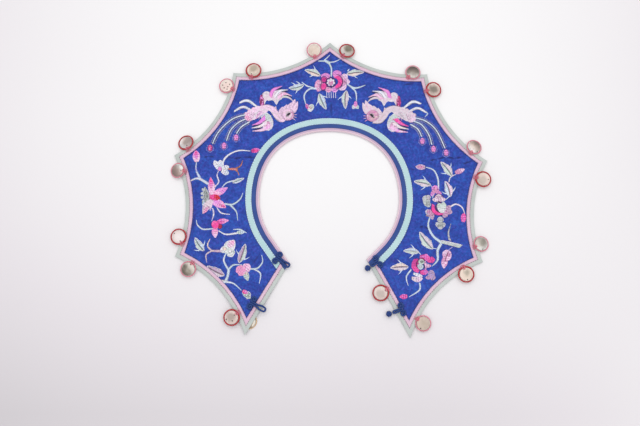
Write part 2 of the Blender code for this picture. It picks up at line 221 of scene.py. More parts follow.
def neck_round_point(degrees, offset):
    angle = math.radians(degrees)
    squaring = NECK_SQUARING * math.sin(2 * angle) ** 2 if abs(degrees) < 90 else 0.0
    radius = NECK_RADIUS + squaring + offset
    return NECK_CENTRE + radius * Vector((-math.sin(angle), math.cos(angle)))


def neck_end(side, offset, front_inset=0.0):
    """Where the neck edge, moved out by offset, meets a front edge moved in by front_inset."""
    angle = math.radians(NECK_ROUND[side]) * side
    start = neck_round_point(NECK_ROUND[side] * side, offset)
    straight = Line(start, start + Vector((-math.cos(angle), -math.sin(angle))) * side)
    front = FRONT_LEFT if side > 0 else FRONT_RIGHT
    return straight.meets_line(front.moved_in(front_inset))


def spaced(points, steps):
    """Points at equal distances along a chain, both ends included."""
    dims = range(len(points[0]))
    at = np.array([[p[d] for d in dims] for p in points])
    run = np.concatenate([[0.0], np.cumsum(np.linalg.norm(np.diff(at, axis=0), axis=1))])
    want = np.linspace(0.0, run[-1], steps + 1)
    return [Vector(row) for row in np.stack([np.interp(want, run, at[:, d]) for d in dims], axis=1)]


def neck_edge(offset, front_inset=0.0, steps=NECK_STEPS):
    """Evenly spaced points along the neck, from the left front edge to the right one."""
    dense = [neck_end(1, offset, front_inset)]
    for degrees in np.arange(NECK_ROUND[1], -NECK_ROUND[-1] - 0.5, -1.0):
        dense.append(neck_round_point(float(degrees), offset))
    dense.append(neck_end(-1, offset, front_inset))
    return spaced(dense, steps)


def border_edge(inset):
    """The outer edge moved in by inset, with both front edges up to the neck's navy strip."""
    edge = scallop_edge(inset)
    top_left = neck_end(1, PIPING_WIDTH + NAVY_WIDTH + GAP, inset)
    top_right = neck_end(-1, PIPING_WIDTH + NAVY_WIDTH + GAP, inset)
    shares = [i / FRONT_STEPS for i in range(FRONT_STEPS)]
    left = [top_left.lerp(edge[0], s) for s in shares]
    right = [top_right.lerp(edge[-1], s) for s in shares]
    return left + edge + right[::-1]


# ---- the cloth's relief ----
# Storage folds and creases that the photograph shows, by pixel: from, to, depth in millimetres.
CREASES = [
    ((203, 157.4), (208.6, 155.9), -0.20),
    ((208, 156), (215, 156.8), -0.20),
    ((224, 155.4), (234, 158.6), -0.16),
    ((232.6, 158.6), (243.4, 156.8), -0.22),
    ((242, 157), (257.6, 157.2), -0.22),
    ((248, 160.6), (256, 159.4), -0.12),
    ((428.6, 160.8), (437, 158.6), -0.22),
    ((436, 159), (447, 156.6), -0.24),
    ((446, 156.8), (456, 158.2), -0.22),
    ((455, 158), (462.6, 156.8), -0.20),
    ((461, 164.4), (473.6, 160.4), -0.20),
    ((216, 152.6), (224, 154.4), -0.12),
    ((408, 168.4), (418, 169.6), -0.12),
    ((402, 85), (416, 82.4), -0.18),
    ((418.6, 227.2), (424.8, 225.5), -0.22),
    ((424, 225.5), (430, 230.6), -0.20),
    ((331, 99), (331.4, 117), -0.16),
    ((331, 56), (331, 63), -0.14),
    ((196, 206), (192, 236), -0.12),
    ((262, 250), (250, 268), -0.12),
    ((252, 136), (258, 130), -0.12),
    ((404, 132), (398, 126), -0.10),
]
CREASE_HALF_WIDTH = 1.25
CREASE_WAVER = 0.0011   # metres that a crease's painted shade wavers to each side
FULL_CREASE = 0.22      # depth from which a crease's painted shade is at full strength
CREASE_LINES = [(tuple(spot(*a)), tuple(spot(*b)), depth) for a, b, depth in CREASES]


def lift(x, y):
    """How far the cloth is raised over the tucked disc; works on arrays."""
    away = np.hypot(x - TUCKED_PLACE[0], y - TUCKED_PLACE[1])
    share = np.clip((LIFT_REACH - away) / (LIFT_REACH - LIFT_PLATEAU), 0.0, 1.0)
    return TUCKED_RISE * share * share * (3 - 2 * share)


def relief(x, y):
    """The cloth's soft waves and creases, in millimetres; works on arrays. Three pairs of crossed
    waves, each finer and lower than the one before, keep the satin from lying dead flat."""
    height = 0.07 * np.sin(x / 9.7 + 1.3 * np.sin(y / 23.0)) * np.sin(y / 8.3 + 0.7)
    height = height + 0.05 * np.sin((x + y) / 5.1) * np.sin((x - 2 * y) / 13.0)
    height = height + 0.03 * np.sin(x / 2.9 + y / 4.3) * np.sin(y / 3.7 - x / 6.1)
    for (x0, y0), (x1, y1), depth in CREASE_LINES:
        dx, dy = x1 - x0, y1 - y0
        size = dx * dx + dy * dy
        share = np.clip(((x - x0) * dx + (y - y0) * dy) / size, 0.0, 1.0)
        away = np.hypot(x - x0 - share * dx, y - y0 - share * dy)
        fade = np.sin(np.pi * np.clip(share, 0.02, 0.98)) ** 0.5
        height = height + depth * fade * np.exp(-((away / CREASE_HALF_WIDTH) ** 2))
    return height


def ground(x, y):
    """Height of the satin's face at a place; works on arrays."""
    return PANEL_TOP + lift(x, y) + relief(x, y)


# ---- materials ----
BLACK, WHITE = (0.0, 0.0, 0.0, 1.0), (1.0, 1.0, 1.0, 1.0)


def linear(colour):
    """A screen colour, 0 to 255, as the linear colour that shaders take."""
    def channel(value):
        value /= 255
        return value / 12.92 if value <= 0.04045 else ((value + 0.055) / 1.055) ** 2.4
    return (*[channel(v) for v in colour], 1.0)


def scaled(colour, factor, more=0.0):
    """A linear colour made darker or lighter."""
    return (*[min(1.0, v * factor + more) for v in colour[:3]], 1.0)


class Nodes:
    """Small helper round one material's node tree."""

    def __init__(self, name):
        self.material = bpy.data.materials.new(name)
        self.material.use_nodes = True
        self.tree = self.material.node_tree
        self.shader = self.tree.nodes["Principled BSDF"]

    def add(self, kind, **values):
        node = self.tree.nodes.new("ShaderNode" + kind)
        for key, value in values.items():
            setattr(node, key, value)
        return node

    def link(self, output, target):
        self.tree.links.new(output, target)

    def put(self, socket, value):
        if isinstance(value, bpy.types.NodeSocket):
            self.link(value, socket)
        else:
            socket.default_value = value

    def set(self, **values):
        """Values of the surface shader, by its sockets' names with _ for a space."""
        for key, value in values.items():
            self.put(self.shader.inputs[key.replace("_", " ")], value)

    def build(self, kind, output, inputs, **values):
        """A node with its inputs put by name; returns one of its outputs."""
        node = self.add(kind, **values)
        for key, value in inputs.items():
            self.put(node.inputs[key], value)
        return node.outputs[output]

    def here(self):
        """The object's coordinates, in metres."""
        return self.add("TexCoord").outputs["Object"]

    def place(self, scale, turn=0.0):
        """The object's coordinates, scaled and turned, as a vector."""
        return self.build("Mapping", "Vector", {
            "Vector": self.here(), "Scale": scale, "Rotation": (0.0, 0.0, turn)})

    def noise(self, scale, detail, roughness, turn=0.0):
        """Noise with that many waves a metre, one number or one for each direction."""
        scale = scale if isinstance(scale, tuple) else (scale, scale, scale)
        return self.build("TexNoise", "Fac", {
            "Vector": self.place(scale, turn), "Scale": 1.0,
            "Detail": detail, "Roughness": roughness})

    def wave(self, scale, direction):
        return self.build("TexWave", "Fac", {
            "Vector": self.place((1.0, 1.0, 1.0), RIB_TURN), "Scale": scale,
            "Distortion": 0.6, "Detail": 1.0}, bands_direction=direction)

    def vector(self, operation, a, *others):
        """Vector arithmetic; a length, a distance or a dot product comes out as a number."""
        node = self.add("VectorMath", operation=operation)
        for socket, value in zip(node.inputs, (a, *others)):
            self.put(socket, value)
        number = operation in ("LENGTH", "DISTANCE", "DOT_PRODUCT")
        return node.outputs["Value" if number else "Vector"]

    def math(self, operation, a, b):
        node = self.add("Math", operation=operation)
        self.put(node.inputs[0], a)
        self.put(node.inputs[1], b)
        return node.outputs["Value"]

    def times(self, first, *others):
        for value in others:
            first = self.math("MULTIPLY", first, value)
        return first

    def plus(self, first, *others):
        for value in others:
            first = self.math("ADD", first, value)
        return first

    def within(self, value, low, high):
        return self.math("MINIMUM", self.math("MAXIMUM", value, low), high)

    def ramp(self, factor, *stops):
        """A colour or grey ramp; each stop is (place, colour)."""
        node = self.add("ValToRGB")
        elements = node.color_ramp.elements
        while len(elements) < len(stops):
            elements.new(0.5)
        for element, (position, colour) in zip(elements, stops):
            element.position = position
            element.color = colour
        self.link(factor, node.inputs["Fac"])
        return node.outputs["Color"]

    def mix(self, factor, a, b, kind="MIX"):
        node = self.add("Mix", data_type="RGBA", blend_type=kind)
        self.put(node.inputs["Factor"], factor)
        inputs = [s for s in node.inputs if s.type == "RGBA"]
        self.put(inputs[0], a)
        self.put(inputs[1], b)
        return [s for s in node.outputs if s.type == "RGBA"][0]

    def range(self, factor, low, high, start=0.0, stop=1.0):
        """Low where factor is at start or before it, high at stop or beyond."""
        return self.build("MapRange", "Result", {
            "Value": factor, "From Min": start, "From Max": stop, "To Min": low, "To Max": high})

    def bump(self, height, strength, distance, normal=None):
        under = {} if normal is None else {"Normal": normal}
        return self.build("Bump", "Normal", {
            "Strength": strength, "Distance": distance, "Height": height, **under})


def crease_shade_mask(m):
    """How far a place lies in one of the creases, 0 to 1, wavering a little: the mask for the
    satin's painted crease shade and for its crease bump.
    """
    here = m.here()
    waver = m.build("TexNoise", "Color", {"Scale": 130.0})
    shaken = m.vector("MULTIPLY_ADD", waver, (2 * CREASE_WAVER, 2 * CREASE_WAVER, 0.0), here)
    masks = []
    for (x0, y0), (x1, y1), depth in CREASE_LINES:
        middle = ((x0 + x1) / 2 * MM + CREASE_WAVER, (y0 + y1) / 2 * MM + CREASE_WAVER, 0.0)
        length = math.hypot(x1 - x0, y1 - y0)
        local = m.build("Mapping", "Vector", {
            "Vector": shaken, "Location": middle,
            "Rotation": (0.0, 0.0, math.atan2(y1 - y0, x1 - x0)),
            "Scale": (length / 2 * MM, CREASE_HALF_WIDTH * MM, 1.0),
        }, vector_type="TEXTURE")
        away = m.vector("LENGTH", m.vector("MULTIPLY", local, (1.0, 1.0, 0.0)))
        masks.append(m.range(away, 0.0, min(1.0, abs(depth) / FULL_CREASE), 1.0, 0.3))
    total = masks[0]
    for mask in masks[1:]:
        total = m.math("MAXIMUM", total, mask)
    return total


# What the satin's colour is multiplied by where it is worn dull or bright, or leans to another hue.
SATIN_DULL, SATIN_BRIGHT = (0.4, 0.48, 0.70, 1.0), (2.4, 1.76, 1.36, 1.0)
SATIN_AZURE, SATIN_VIOLET = (0.3, 1.18, 1.02, 1.0), (2.9, 0.94, 1.06, 1.0)


def satin_material():
    """Woven satin: floats, slubs and warp, worn in patches, with painted shade darkening its
    creases.
    """
    m = Nodes("blue_satin_weave")
    floats = m.noise((900.0, 5200.0, 900.0), 3.0, 0.6)
    slubs = m.noise((60.0, 900.0, 60.0), 2.0, 0.6)
    warp = m.noise((800.0, 40.0, 60.0), 2.0, 0.6)
    wear = m.noise((38.0, 60.0, 38.0), 4.0, 0.62)
    base = m.ramp(wear, (0.30, linear((15, 46, 140))), (0.50, linear((21, 62, 162))),
                  (0.72, linear((31, 78, 176))))
    base = m.mix(m.range(slubs, 0.0, 0.26), base, linear((38, 84, 184)))
    base = m.mix(m.range(warp, 0.0, 0.30), base, linear((18, 44, 140)))
    base = m.mix(m.range(floats, 0.0, 0.18), base, linear((12, 34, 120)))
    tone = m.noise(430.0, 3.0, 0.7)
    cast = m.noise(360.0, 3.0, 0.7, 0.7)
    worn = m.ramp(tone, (0.32, SATIN_DULL), (0.5, WHITE), (0.68, SATIN_BRIGHT))
    base = m.mix(1.0, base, worn, "MULTIPLY")
    leaning = m.ramp(cast, (0.34, SATIN_AZURE), (0.5, WHITE), (0.66, SATIN_VIOLET))
    base = m.mix(1.0, base, leaning, "MULTIPLY")
    creases = crease_shade_mask(m)
    # painted shade: the creases' colour is darkened where their dents would lie in shade
    base = m.mix(m.times(creases, 0.95), base, linear((12, 22, 92)))
    normal = m.bump(floats, 0.35, 0.00012)
    normal = m.bump(slubs, 0.25, 0.00025, normal)
    normal = m.bump(m.math("SUBTRACT", 1.0, creases), 0.5, 0.0003, normal)
    m.set(
        Base_Color=base,
        Roughness=m.range(floats, 0.44, 0.56),
        Normal=normal,
        Specular_IOR_Level=0.30,
        Sheen_Weight=0.10,
        Sheen_Roughness=0.4,
        Sheen_Tint=linear((110, 140, 230)),
    )
    return m.material


RIB, RIB_TURN = 1400.0, 0.6     # scale of a tape's rib, and its turn from the frame's X


def tape_material(name, colour, second, sheen=0.25, roughness=0.62):
    """A narrow woven tape or bias strip: fine rib, slight unevenness in its dye."""
    m = Nodes(name)
    across, along = m.wave(RIB, "X"), m.wave(RIB * 1.2, "Y")
    weave = m.times(across, along)
    dye = m.noise(55.0, 4.0, 0.6)
    fibre = m.noise(1600.0, 2.0, 0.6)
    base = m.ramp(dye, (0.30, linear(colour)), (0.72, linear(second)))
    # painted shade: the rib's low parts are darkened as if shaded
    shade = scaled(linear(colour), 0.86)
    base = m.mix(m.range(weave, 0.30, 0.0), base, shade)
    normal = m.bump(weave, 0.30, 0.00010)
    normal = m.bump(fibre, 0.25, 0.00010, normal)
    m.set(
        Base_Color=base,
        Roughness=m.range(fibre, roughness - 0.06, roughness + 0.08),
        Normal=normal,
        Specular_IOR_Level=0.3,
        Sheen_Weight=sheen,
        Sheen_Roughness=0.5,
    )
    return m.material


def thread_material(name, colour, gloss=0.42, spread=0.12):
    """Silk floss or cord: each strand a little lighter or darker, soft gloss."""
    m = Nodes(name)
    strand = m.noise((1300.0, 1300.0, 300.0), 2.0, 0.6)
    patch = m.noise(160.0, 2.0, 0.5)
    soil = m.noise(420.0, 3.0, 0.6)
    dark = scaled(linear(colour), 1 - 2.2 * spread)
    light = scaled(linear(colour), 1 + spread, 0.01)
    base = m.ramp(strand, (0.28, dark), (0.5, linear(colour)), (0.74, light))
    base = m.mix(m.range(patch, 0.0, 0.25), base, light)
    soiled = m.ramp(soil, (0.46, BLACK), (0.70, (0.36, 0.36, 0.36, 1.0)))
    base = m.mix(soiled, base, dark)
    m.set(
        Base_Color=base,
        Roughness=m.range(strand, gloss - 0.05, gloss + 0.12),
        Normal=m.bump(strand, 0.3, 0.00008),
        Specular_IOR_Level=0.45,
        Sheen_Weight=0.15,
        Sheen_Roughness=0.35,
    )
    return m.material


# ---- meshes ----
def linked(name, data):
    """A new object in the scene."""
    obj = bpy.data.objects.new(name, data)
    bpy.context.collection.objects.link(obj)
    return obj


def add_piece(name, verts, faces, material, slot, replaces=(), sharp=None):
    """A mesh piece from points in millimetres, riding on the collar's one body."""
    mesh = bpy.data.meshes.new(name)
    mesh.from_pydata((np.asarray(verts, dtype=float) * MM).tolist(), [], [list(f) for f in faces])
    mesh.validate()
    mesh.shade_smooth()
    if sharp:
        mesh.set_sharp_from_angle(angle=math.radians(sharp))
    mesh.materials.append(material)
    obj = linked(name, mesh)
    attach(obj, "root")
    if replaces:
        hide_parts(*replaces)
    return obj


def grid_faces(rows, columns, close_rows=False, offset=0, flip=False):
    """Faces of a grid of points; close_rows joins the last row to the first."""
    faces = []
    for r in range(rows if close_rows else rows - 1):
        following = (r + 1) % rows
        for c in range(columns - 1):
            near, far = r * columns + c, following * columns + c
            face = (near, near + 1, far + 1, far)
            faces.append(tuple(offset + i for i in (face[::-1] if flip else face)))
    return faces


class Soup:
    """Collects the points and faces of many small forms that make one piece."""

    def __init__(self):
        self.verts, self.faces, self.count = [], [], 0

    def add(self, verts, faces):
        self.verts.append(np.asarray(verts, dtype=float))
        self.faces += [tuple(self.count + i for i in face) for face in faces]
        self.count += len(verts)

    def piece(self, name, material, slot, replaces=(), sharp=None):
        verts = np.concatenate(self.verts)
        return add_piece(name, verts, self.faces, material, slot, replaces, sharp)


def tube(route, radius, sides=8, wind=None, closed=False):
    """A round tube along a route in millimetres. radius is a number or one for each point; wind is
    (plies, turns per millimetre, share): the plies of a twisted cord stand out by that share. An
    open tube gets flat ends."""
    at = np.array([tuple(p) for p in route], dtype=float)
    count = len(at)
    if closed:
        along = np.roll(at, -1, axis=0) - np.roll(at, 1, axis=0)
    else:
        along = np.gradient(at, axis=0)
    along /= np.linalg.norm(along, axis=1)[:, None]
    up = np.tile(np.array([0.0, 0.0, 1.0]), (count, 1))
    steep = np.abs(along[:, 2]) > 0.95
    up[steep] = (1.0, 0.0, 0.0)
    side = np.cross(along, up)
    side /= np.linalg.norm(side, axis=1)[:, None]
    rise = np.cross(side, along)
    radius = np.broadcast_to(np.asarray(radius, dtype=float), (count,))
    legs = np.linalg.norm(np.diff(at, axis=0), axis=1)
    run = np.concatenate([[0.0], np.cumsum(legs)])
    if closed and wind:
        total = run[-1] + np.linalg.norm(at[0] - at[-1])
        wind = (wind[0], round(total * wind[1]) / total, wind[2])
    verts = []
    for k in range(sides):
        angle = 2 * math.pi * k / sides
        size = radius
        if wind:
            plies, turns, share = wind
            ridge = np.abs(np.cos(plies * (angle / 2 + math.pi * turns * run)))
            size = radius * (1 - share + share * ridge)
        out, above = math.cos(angle) * size, math.sin(angle) * size
        verts.append(at + side * out[:, None] + rise * above[:, None])
    verts = np.stack(verts, axis=1).reshape(-1, 3)      # one ring of "sides" points after another
    faces = []
    for i in range(count if closed else count - 1):
        j = (i + 1) % count
        near, far = i * sides, j * sides
        for k in range(sides):
            following = (k + 1) % sides
            faces.append((near + k, far + k, far + following, near + following))
    if not closed:
        faces.append(tuple(range(sides))[::-1])
        faces.append(tuple((count - 1) * sides + k for k in range(sides)))
    return verts, faces


def smooth(points, steps):
    """A smooth chain through a few points, with so many steps from each to the next."""
    pts = [Vector(p) for p in points]
    last = len(pts) - 1
    result = []
    for i in range(last):
        a, b, c, d = pts[max(i - 1, 0)], pts[i], pts[i + 1], pts[min(i + 2, last)]
        for k in range(steps):
            t = k / steps
            result.append(
                0.5 * ((2 * b) + (c - a) * t + (2 * a - 5 * b + 4 * c - d) * t * t
                       + (3 * b - a - 3 * c + d) * t * t * t)
            )
    return result + [pts[-1]]


# ---- stitches: short raised threads, each a closed strip of triangular section ----
STITCH_SINK = 0.05      # how far a stitch's two sides reach into the cloth
STITCH_STEP = 1.5       # length of one step of a stitch's arch
STITCH_SHARP = 100      # degrees; the crown between a stitch's two faces stays soft


class Stitches:
    """The stitches of one thread colour."""

    def __init__(self):
        self.rows = []

    def add(self, a, b, width, height, base=0.0):
        self.rows.append((a[0], a[1], b[0], b[1], width, height, base))

    def piece(self, name, material, slot, floor=ground):
        """All the stitches as one mesh, standing on floor(x, y)."""
        rows = np.array(self.rows)
        length = np.hypot(rows[:, 2] - rows[:, 0], rows[:, 3] - rows[:, 1])
        steps = np.clip(np.ceil(length / STITCH_STEP).astype(int), 2, 5)
        soup = Soup()
        for count in sorted(set(steps.tolist())):
            chosen, size = rows[steps == count], length[steps == count]
            share = np.linspace(0.0, 1.0, count + 1)[None, :]
            x = chosen[:, 0:1] + (chosen[:, 2:3] - chosen[:, 0:1]) * share
            y = chosen[:, 1:2] + (chosen[:, 3:4] - chosen[:, 1:2]) * share
            away_x = -(chosen[:, 3:4] - chosen[:, 1:2]) / size[:, None]
            away_y = (chosen[:, 2:3] - chosen[:, 0:1]) / size[:, None]
            arch = np.sqrt(np.clip(1 - (2 * share - 1) ** 2 * 0.92, 0, 1))
            half = chosen[:, 4:5] / 2 * (0.45 + 0.55 * arch)
            low = floor(x, y) + chosen[:, 6:7] - STITCH_SINK
            top = low + STITCH_SINK + chosen[:, 5:6] * arch
            left = np.stack([x + away_x * half, y + away_y * half, low], axis=-1)
            crown = np.stack([x, y, top], axis=-1)
            right = np.stack([x - away_x * half, y - away_y * half, low], axis=-1)
            rings = np.stack([left, crown, right], axis=2)      # stitch, ring, corner, xyz
            pattern = []
            for r in range(0, 3 * count, 3):
                for k, following in ((0, 1), (1, 2), (2, 0)):
                    pattern.append((r + following, r + 3 + following, r + 3 + k, r + k))
            pattern += [(0, 1, 2), (3 * count + 2, 3 * count + 1, 3 * count)]
            firsts = range(0, 3 * (count + 1) * len(chosen), 3 * (count + 1))
            faces = [tuple(first + i for i in face) for first in firsts for face in pattern]
            soup.add(rings.reshape(-1, 3), faces)
        return soup.piece(name, material, slot, sharp=STITCH_SHARP)


# ---- the satin panel ----
def satin_panel():
    """The ground panel: ruled between the neck edge and the scallops, creased as it was stored."""
    columns = PANEL_COLUMNS_PER_SCALLOP * (len(POINTS) - 1)
    neck = np.array(neck_edge(EDGE_WRAP, EDGE_WRAP, columns))
    outer = np.array(scallop_edge(EDGE_WRAP, PANEL_COLUMNS_PER_SCALLOP))
    shares = np.linspace(0.0, 1.0, PANEL_ROWS + 1)[:, None, None]
    flat = neck[None] * (1 - shares) + outer[None] * shares
    x, y = flat[..., 0], flat[..., 1]
    top = np.stack([x, y, ground(x, y)], axis=-1)
    under = np.stack([x, y, lift(x, y) + 0.02], axis=-1)
    verts = np.concatenate([top.reshape(-1, 3), under.reshape(-1, 3)])
    rows, wide = PANEL_ROWS + 1, columns + 1
    size = rows * wide      # number of points on each side of the cloth
    faces = grid_faces(rows, wide, flip=True) + grid_faces(rows, wide, offset=size)
    rim = [r * wide for r in range(rows)]
    rim += [(rows - 1) * wide + c for c in range(1, wide)]
    rim += [r * wide + wide - 1 for r in range(rows - 2, -1, -1)]
    rim += range(wide - 2, 0, -1)
    for a, b in zip(rim, rim[1:] + rim[:1]):
        faces.append((a, b, size + b, size + a))
    satin = satin_material()
    return add_piece("satin_ground", verts, faces, satin, "blue_satin", ["satin_panel"], 50)


# ---- bands ----
BAND_RELIEF = 0.6       # share of the satin's relief that shows in a band
SIDE_DROP = 0.34        # how far a band's face falls off at its sides
PUCKER, PUCKER_REACH = 0.10, 0.75       # how deep a seam pulls a band in, and how far from its line
SEAM_SINK = 0.24        # how deep a seam's stitches lie under the band's face
SEAM_WANDER = 0.04      # how far they stray to each side
BAND_SHARP = 55         # degrees from which a band's edge shows sharp
ROLL_SIDES = 10


def face_profile(near, far, wrapped):
    """The band's section as (inset, height) rows, from its outer side over the top and back. Its
    face falls off towards both sides, and a wrapped one goes round the cloth's raw edge."""
    width = far - near
    crown = [0.0, 0.04, 0.12, 0.26, 0.42, 0.58, 0.74, 0.88, 0.96, 1.0]
    profile = []
    if wrapped:
        profile += [(near + 0.35, WRAP_LOW), (near + 0.05, WRAP_LOW + 0.15), (near, 0.9),
                    (near, 1.6)]
    else:
        profile += [(near + 0.12, BAND_LOW), (near, BAND_LOW + 0.25)]
    for share in crown:
        fall = SIDE_DROP * abs(2 * share - 1) ** 3.2
        profile.append((near + width * share, BAND_TOP - fall))
    profile += [(far, BAND_LOW + 0.25), (far - 0.12, BAND_LOW)]
    if wrapped:
        profile += [(near + 1.1, BAND_LOW), (near + 1.0, WRAP_LOW + 0.1)]
    else:
        profile += [(near + width * 0.5, BAND_LOW)]
    return profile


def band(name, edge, near, far, wrapped, material, slot, replaces, pitch, seams):
    """A strip along the edge function, its face puckered at each stitch of its seams."""
    rails = []
    for inset, height in face_profile(near, far, wrapped):
        points = np.array(edge(inset))
        x, y = points[:, 0], points[:, 1]
        run = np.concatenate([[0.0], np.cumsum(np.hypot(np.diff(x), np.diff(y)))])
        rise = lift(x, y)
        if height > BAND_LOW + 0.1:
            rise = rise + BAND_RELIEF * relief(x, y)
            for sewn in seams:
                nearness = math.exp(-(((inset - sewn) / PUCKER_REACH) ** 2))
                rise = rise - nearness * (PUCKER + PUCKER * np.cos(2 * math.pi * run / pitch))
            rise = rise + 0.05 * np.sin(run / 2.3 + 2 * np.sin(run / 17.0)) * (height > 2.2)
        rails.append(np.stack([x, y, height + rise], axis=-1))
    count = len(rails[0])
    verts = np.concatenate(rails)
    faces = grid_faces(len(rails), count, close_rows=True, flip=True)
    faces.append([r * count for r in range(len(rails))])
    faces.append([r * count + count - 1 for r in range(len(rails))][::-1])
    obj = add_piece(name, verts, faces, material, slot, replaces)
    bm = bmesh.new()
    bm.from_mesh(obj.data)
    bmesh.ops.recalc_face_normals(bm, faces=bm.faces)
    bm.to_mesh(obj.data)
    bm.free()
    obj.data.shade_smooth()
    obj.data.set_sharp_from_angle(angle=math.radians(BAND_SHARP))
    return obj


def seam(stitches, edge, inset, pitch, width, share, height):
    """A row of running stitches along an edge; share is how much of the pitch the thread covers."""
    points = [Vector(p) for p in edge(inset)]
    length = sum((b - a).length for a, b in zip(points, points[1:]))
    ends = spaced(points, 2 * round(length / pitch))
    for i in range(0, len(ends) - 1, 2):
        a, b = ends[i], ends[i + 1]
        along = b - a
        off = left_of(along.normalized()) * RANDOM.uniform(-SEAM_WANDER, SEAM_WANDER)
        stitches.add(a + off, a + off + along * share * 2, width, height)


def band_face(x, y):
    """Height in a band's seam, where its stitches lie."""
    return BAND_TOP - SEAM_SINK + lift(x, y) + BAND_RELIEF * relief(x, y)


def ribbon_edge(offset):
    """The neck edge moved out, ending at the border's tapes."""
    return neck_edge(offset, BORDER_WIDTH + GAP)


NAVY_NEAR, NAVY_FAR = PIPING_WIDTH + GAP, PIPING_WIDTH + NAVY_WIDTH
BANDS = [  # piece, edge, near and far side, wrapped, slot, node, its seams' pitch and insets, the
           # weave and its two colours, sheen and roughness where they aren't the usual
    ("celadon_edge", border_edge, 0.0, CELADON_WIDTH, True, "celadon_tape", "celadon_binding",
     3.1, [3.1], "celadon_bias", (180, 188, 184), (198, 205, 202)),
    ("pink_tape_line", border_edge, CELADON_WIDTH + GAP, BORDER_WIDTH, False, "pink_tape",
     "pink_border", 3.1, [4.75, 6.9], "pink_tape_weave", (214, 176, 198), (224, 196, 214)),
    ("neck_piping", neck_edge, 0.0, PIPING_WIDTH, True, "pink_piping", "pink_neck_piping",
     2.8, [1.55], "pink_piping_weave", (190, 163, 190), (204, 180, 206)),
    ("neck_navy", neck_edge, NAVY_NEAR, NAVY_FAR, False, "navy_strip", "navy_neck_strip",
     2.8, [5.7], "navy_strip_weave", (38, 66, 134), (54, 85, 156)),
    ("neck_ribbon", ribbon_edge, NAVY_FAR + GAP, NECK_BANDS, False, "aqua_ribbon", "aqua_ribbon",
     3.0, [8.8, 13.5], "aqua_ribbon_weave", (175, 208, 210), (189, 217, 218), 0.3, 0.55),
]
ROLLS = [  # fine rolls along the neck: piece, inset, height, radius, weave, its two colours
    ("neck_rolled_edge", 0.9, BAND_TOP - 0.5, 0.6,
     "rolled_edge_weave", (226, 200, 204), (238, 214, 218)),
    # painted highlight: this pale roll is lightened to cream along the neck's folded edge
    ("neck_cream_roll", 0.25, BAND_TOP - 0.8, 0.45,
     "cream_roll_weave", (250, 234, 228), (254, 244, 240)),
]
BAND_LINES = {
    "moss": (184, 186, 180), "pale": (216, 218, 214), "mauve": (212, 186, 194),
    "rose": (232, 198, 216), "heather": (180, 154, 196), "violet_shade": (138, 120, 172),
    "sky": (202, 228, 255), "brown": (164, 126, 134), "ink": (36, 58, 116),
}
STITCHED_SHADE_COLOUR = (20, 30, 92)  # a dark stitched line in the gaps beside the border and the neck's ribbon, also painted shadow of the raised bands
# Sewn and woven lines along the bands: edge, inset, stitch pitch, width, share of the pitch that
# the thread covers, colour.
LINES = [
    (border_edge, 0.45, 2.4, 0.5, 0.9, "moss"),
    (border_edge, 1.25, 3.1, 0.6, 0.9, "pale"),
    (border_edge, 2.35, 3.1, 0.5, 0.8, "pale"),
    (border_edge, 3.15, 2.2, 0.7, 0.96, "mauve"),
    (border_edge, 4.75, 3.1, 0.4, 0.7, "rose"),
    (border_edge, 4.15, 2.4, 0.5, 0.96, "mauve"),
    (border_edge, 6.85, 2.4, 0.6, 0.94, "heather"),
    # painted shadow: a dark line along the pink band's inner edge
    (border_edge, 7.3, 2.4, 0.4, 0.96, "violet_shade"),
    (neck_edge, 1.45, 2.0, 0.5, 0.97, "brown"),
    (neck_edge, 5.7, 2.8, 0.4, 0.62, "ink"),
    (ribbon_edge, 8.6, 2.6, 0.9, 0.98, "sky"),
    (ribbon_edge, 9.3, 2.6, 0.6, 0.9, "sky"),
    (ribbon_edge, 13.7, 2.6, 1.0, 0.98, "sky"),
    (ribbon_edge, 12.9, 2.6, 0.6, 0.9, "sky"),
    (ribbon_edge, 12.6, 3.0, 0.4, 0.6, "pale"),
]


def bands():
    """The five bands, the neck's fine rolls, and every line of stitches along them."""
    made = []
    for name, edge, near, far, wrapped, slot, node, pitch, seams, *weave in BANDS:
        made.append(band(name, edge, near, far, wrapped, tape_material(*weave), slot, [node],
                         pitch, seams))
    for name, inset, height, radius, *weave in ROLLS:
        roll = [(p.x, p.y, height + float(lift(p.x, p.y))) for p in neck_edge(inset)]
        made.append(add_piece(name, *tube(roll, radius, ROLL_SIDES), tape_material(*weave),
                              "pink_piping"))
    lines = {name: Stitches() for name in BAND_LINES}
    for edge, inset, pitch, width, share, name in LINES:
        seam(lines[name], edge, inset, pitch, width, share, 0.12)
    for name, stitches in lines.items():
        silk = thread_material("thread_" + name, BAND_LINES[name])
        made.append(stitches.piece("line_" + name, silk, "silk_thread", band_face))
    # dark stitches laid as painted shadow beside the raised bands
    stitched_shade = Stitches()
    seam(stitched_shade, border_edge, BORDER_WIDTH + 0.4, 2.0, 0.9, 1.0, 0.08)
    seam(stitched_shade, ribbon_edge, NECK_BANDS + 0.35, 2.0, 0.7, 1.0, 0.08)
    silk = thread_material("thread_stitched_shade", STITCHED_SHADE_COLOUR)
    made.append(stitched_shade.piece("line_stitched_shade", silk, "silk_thread"))
    return made


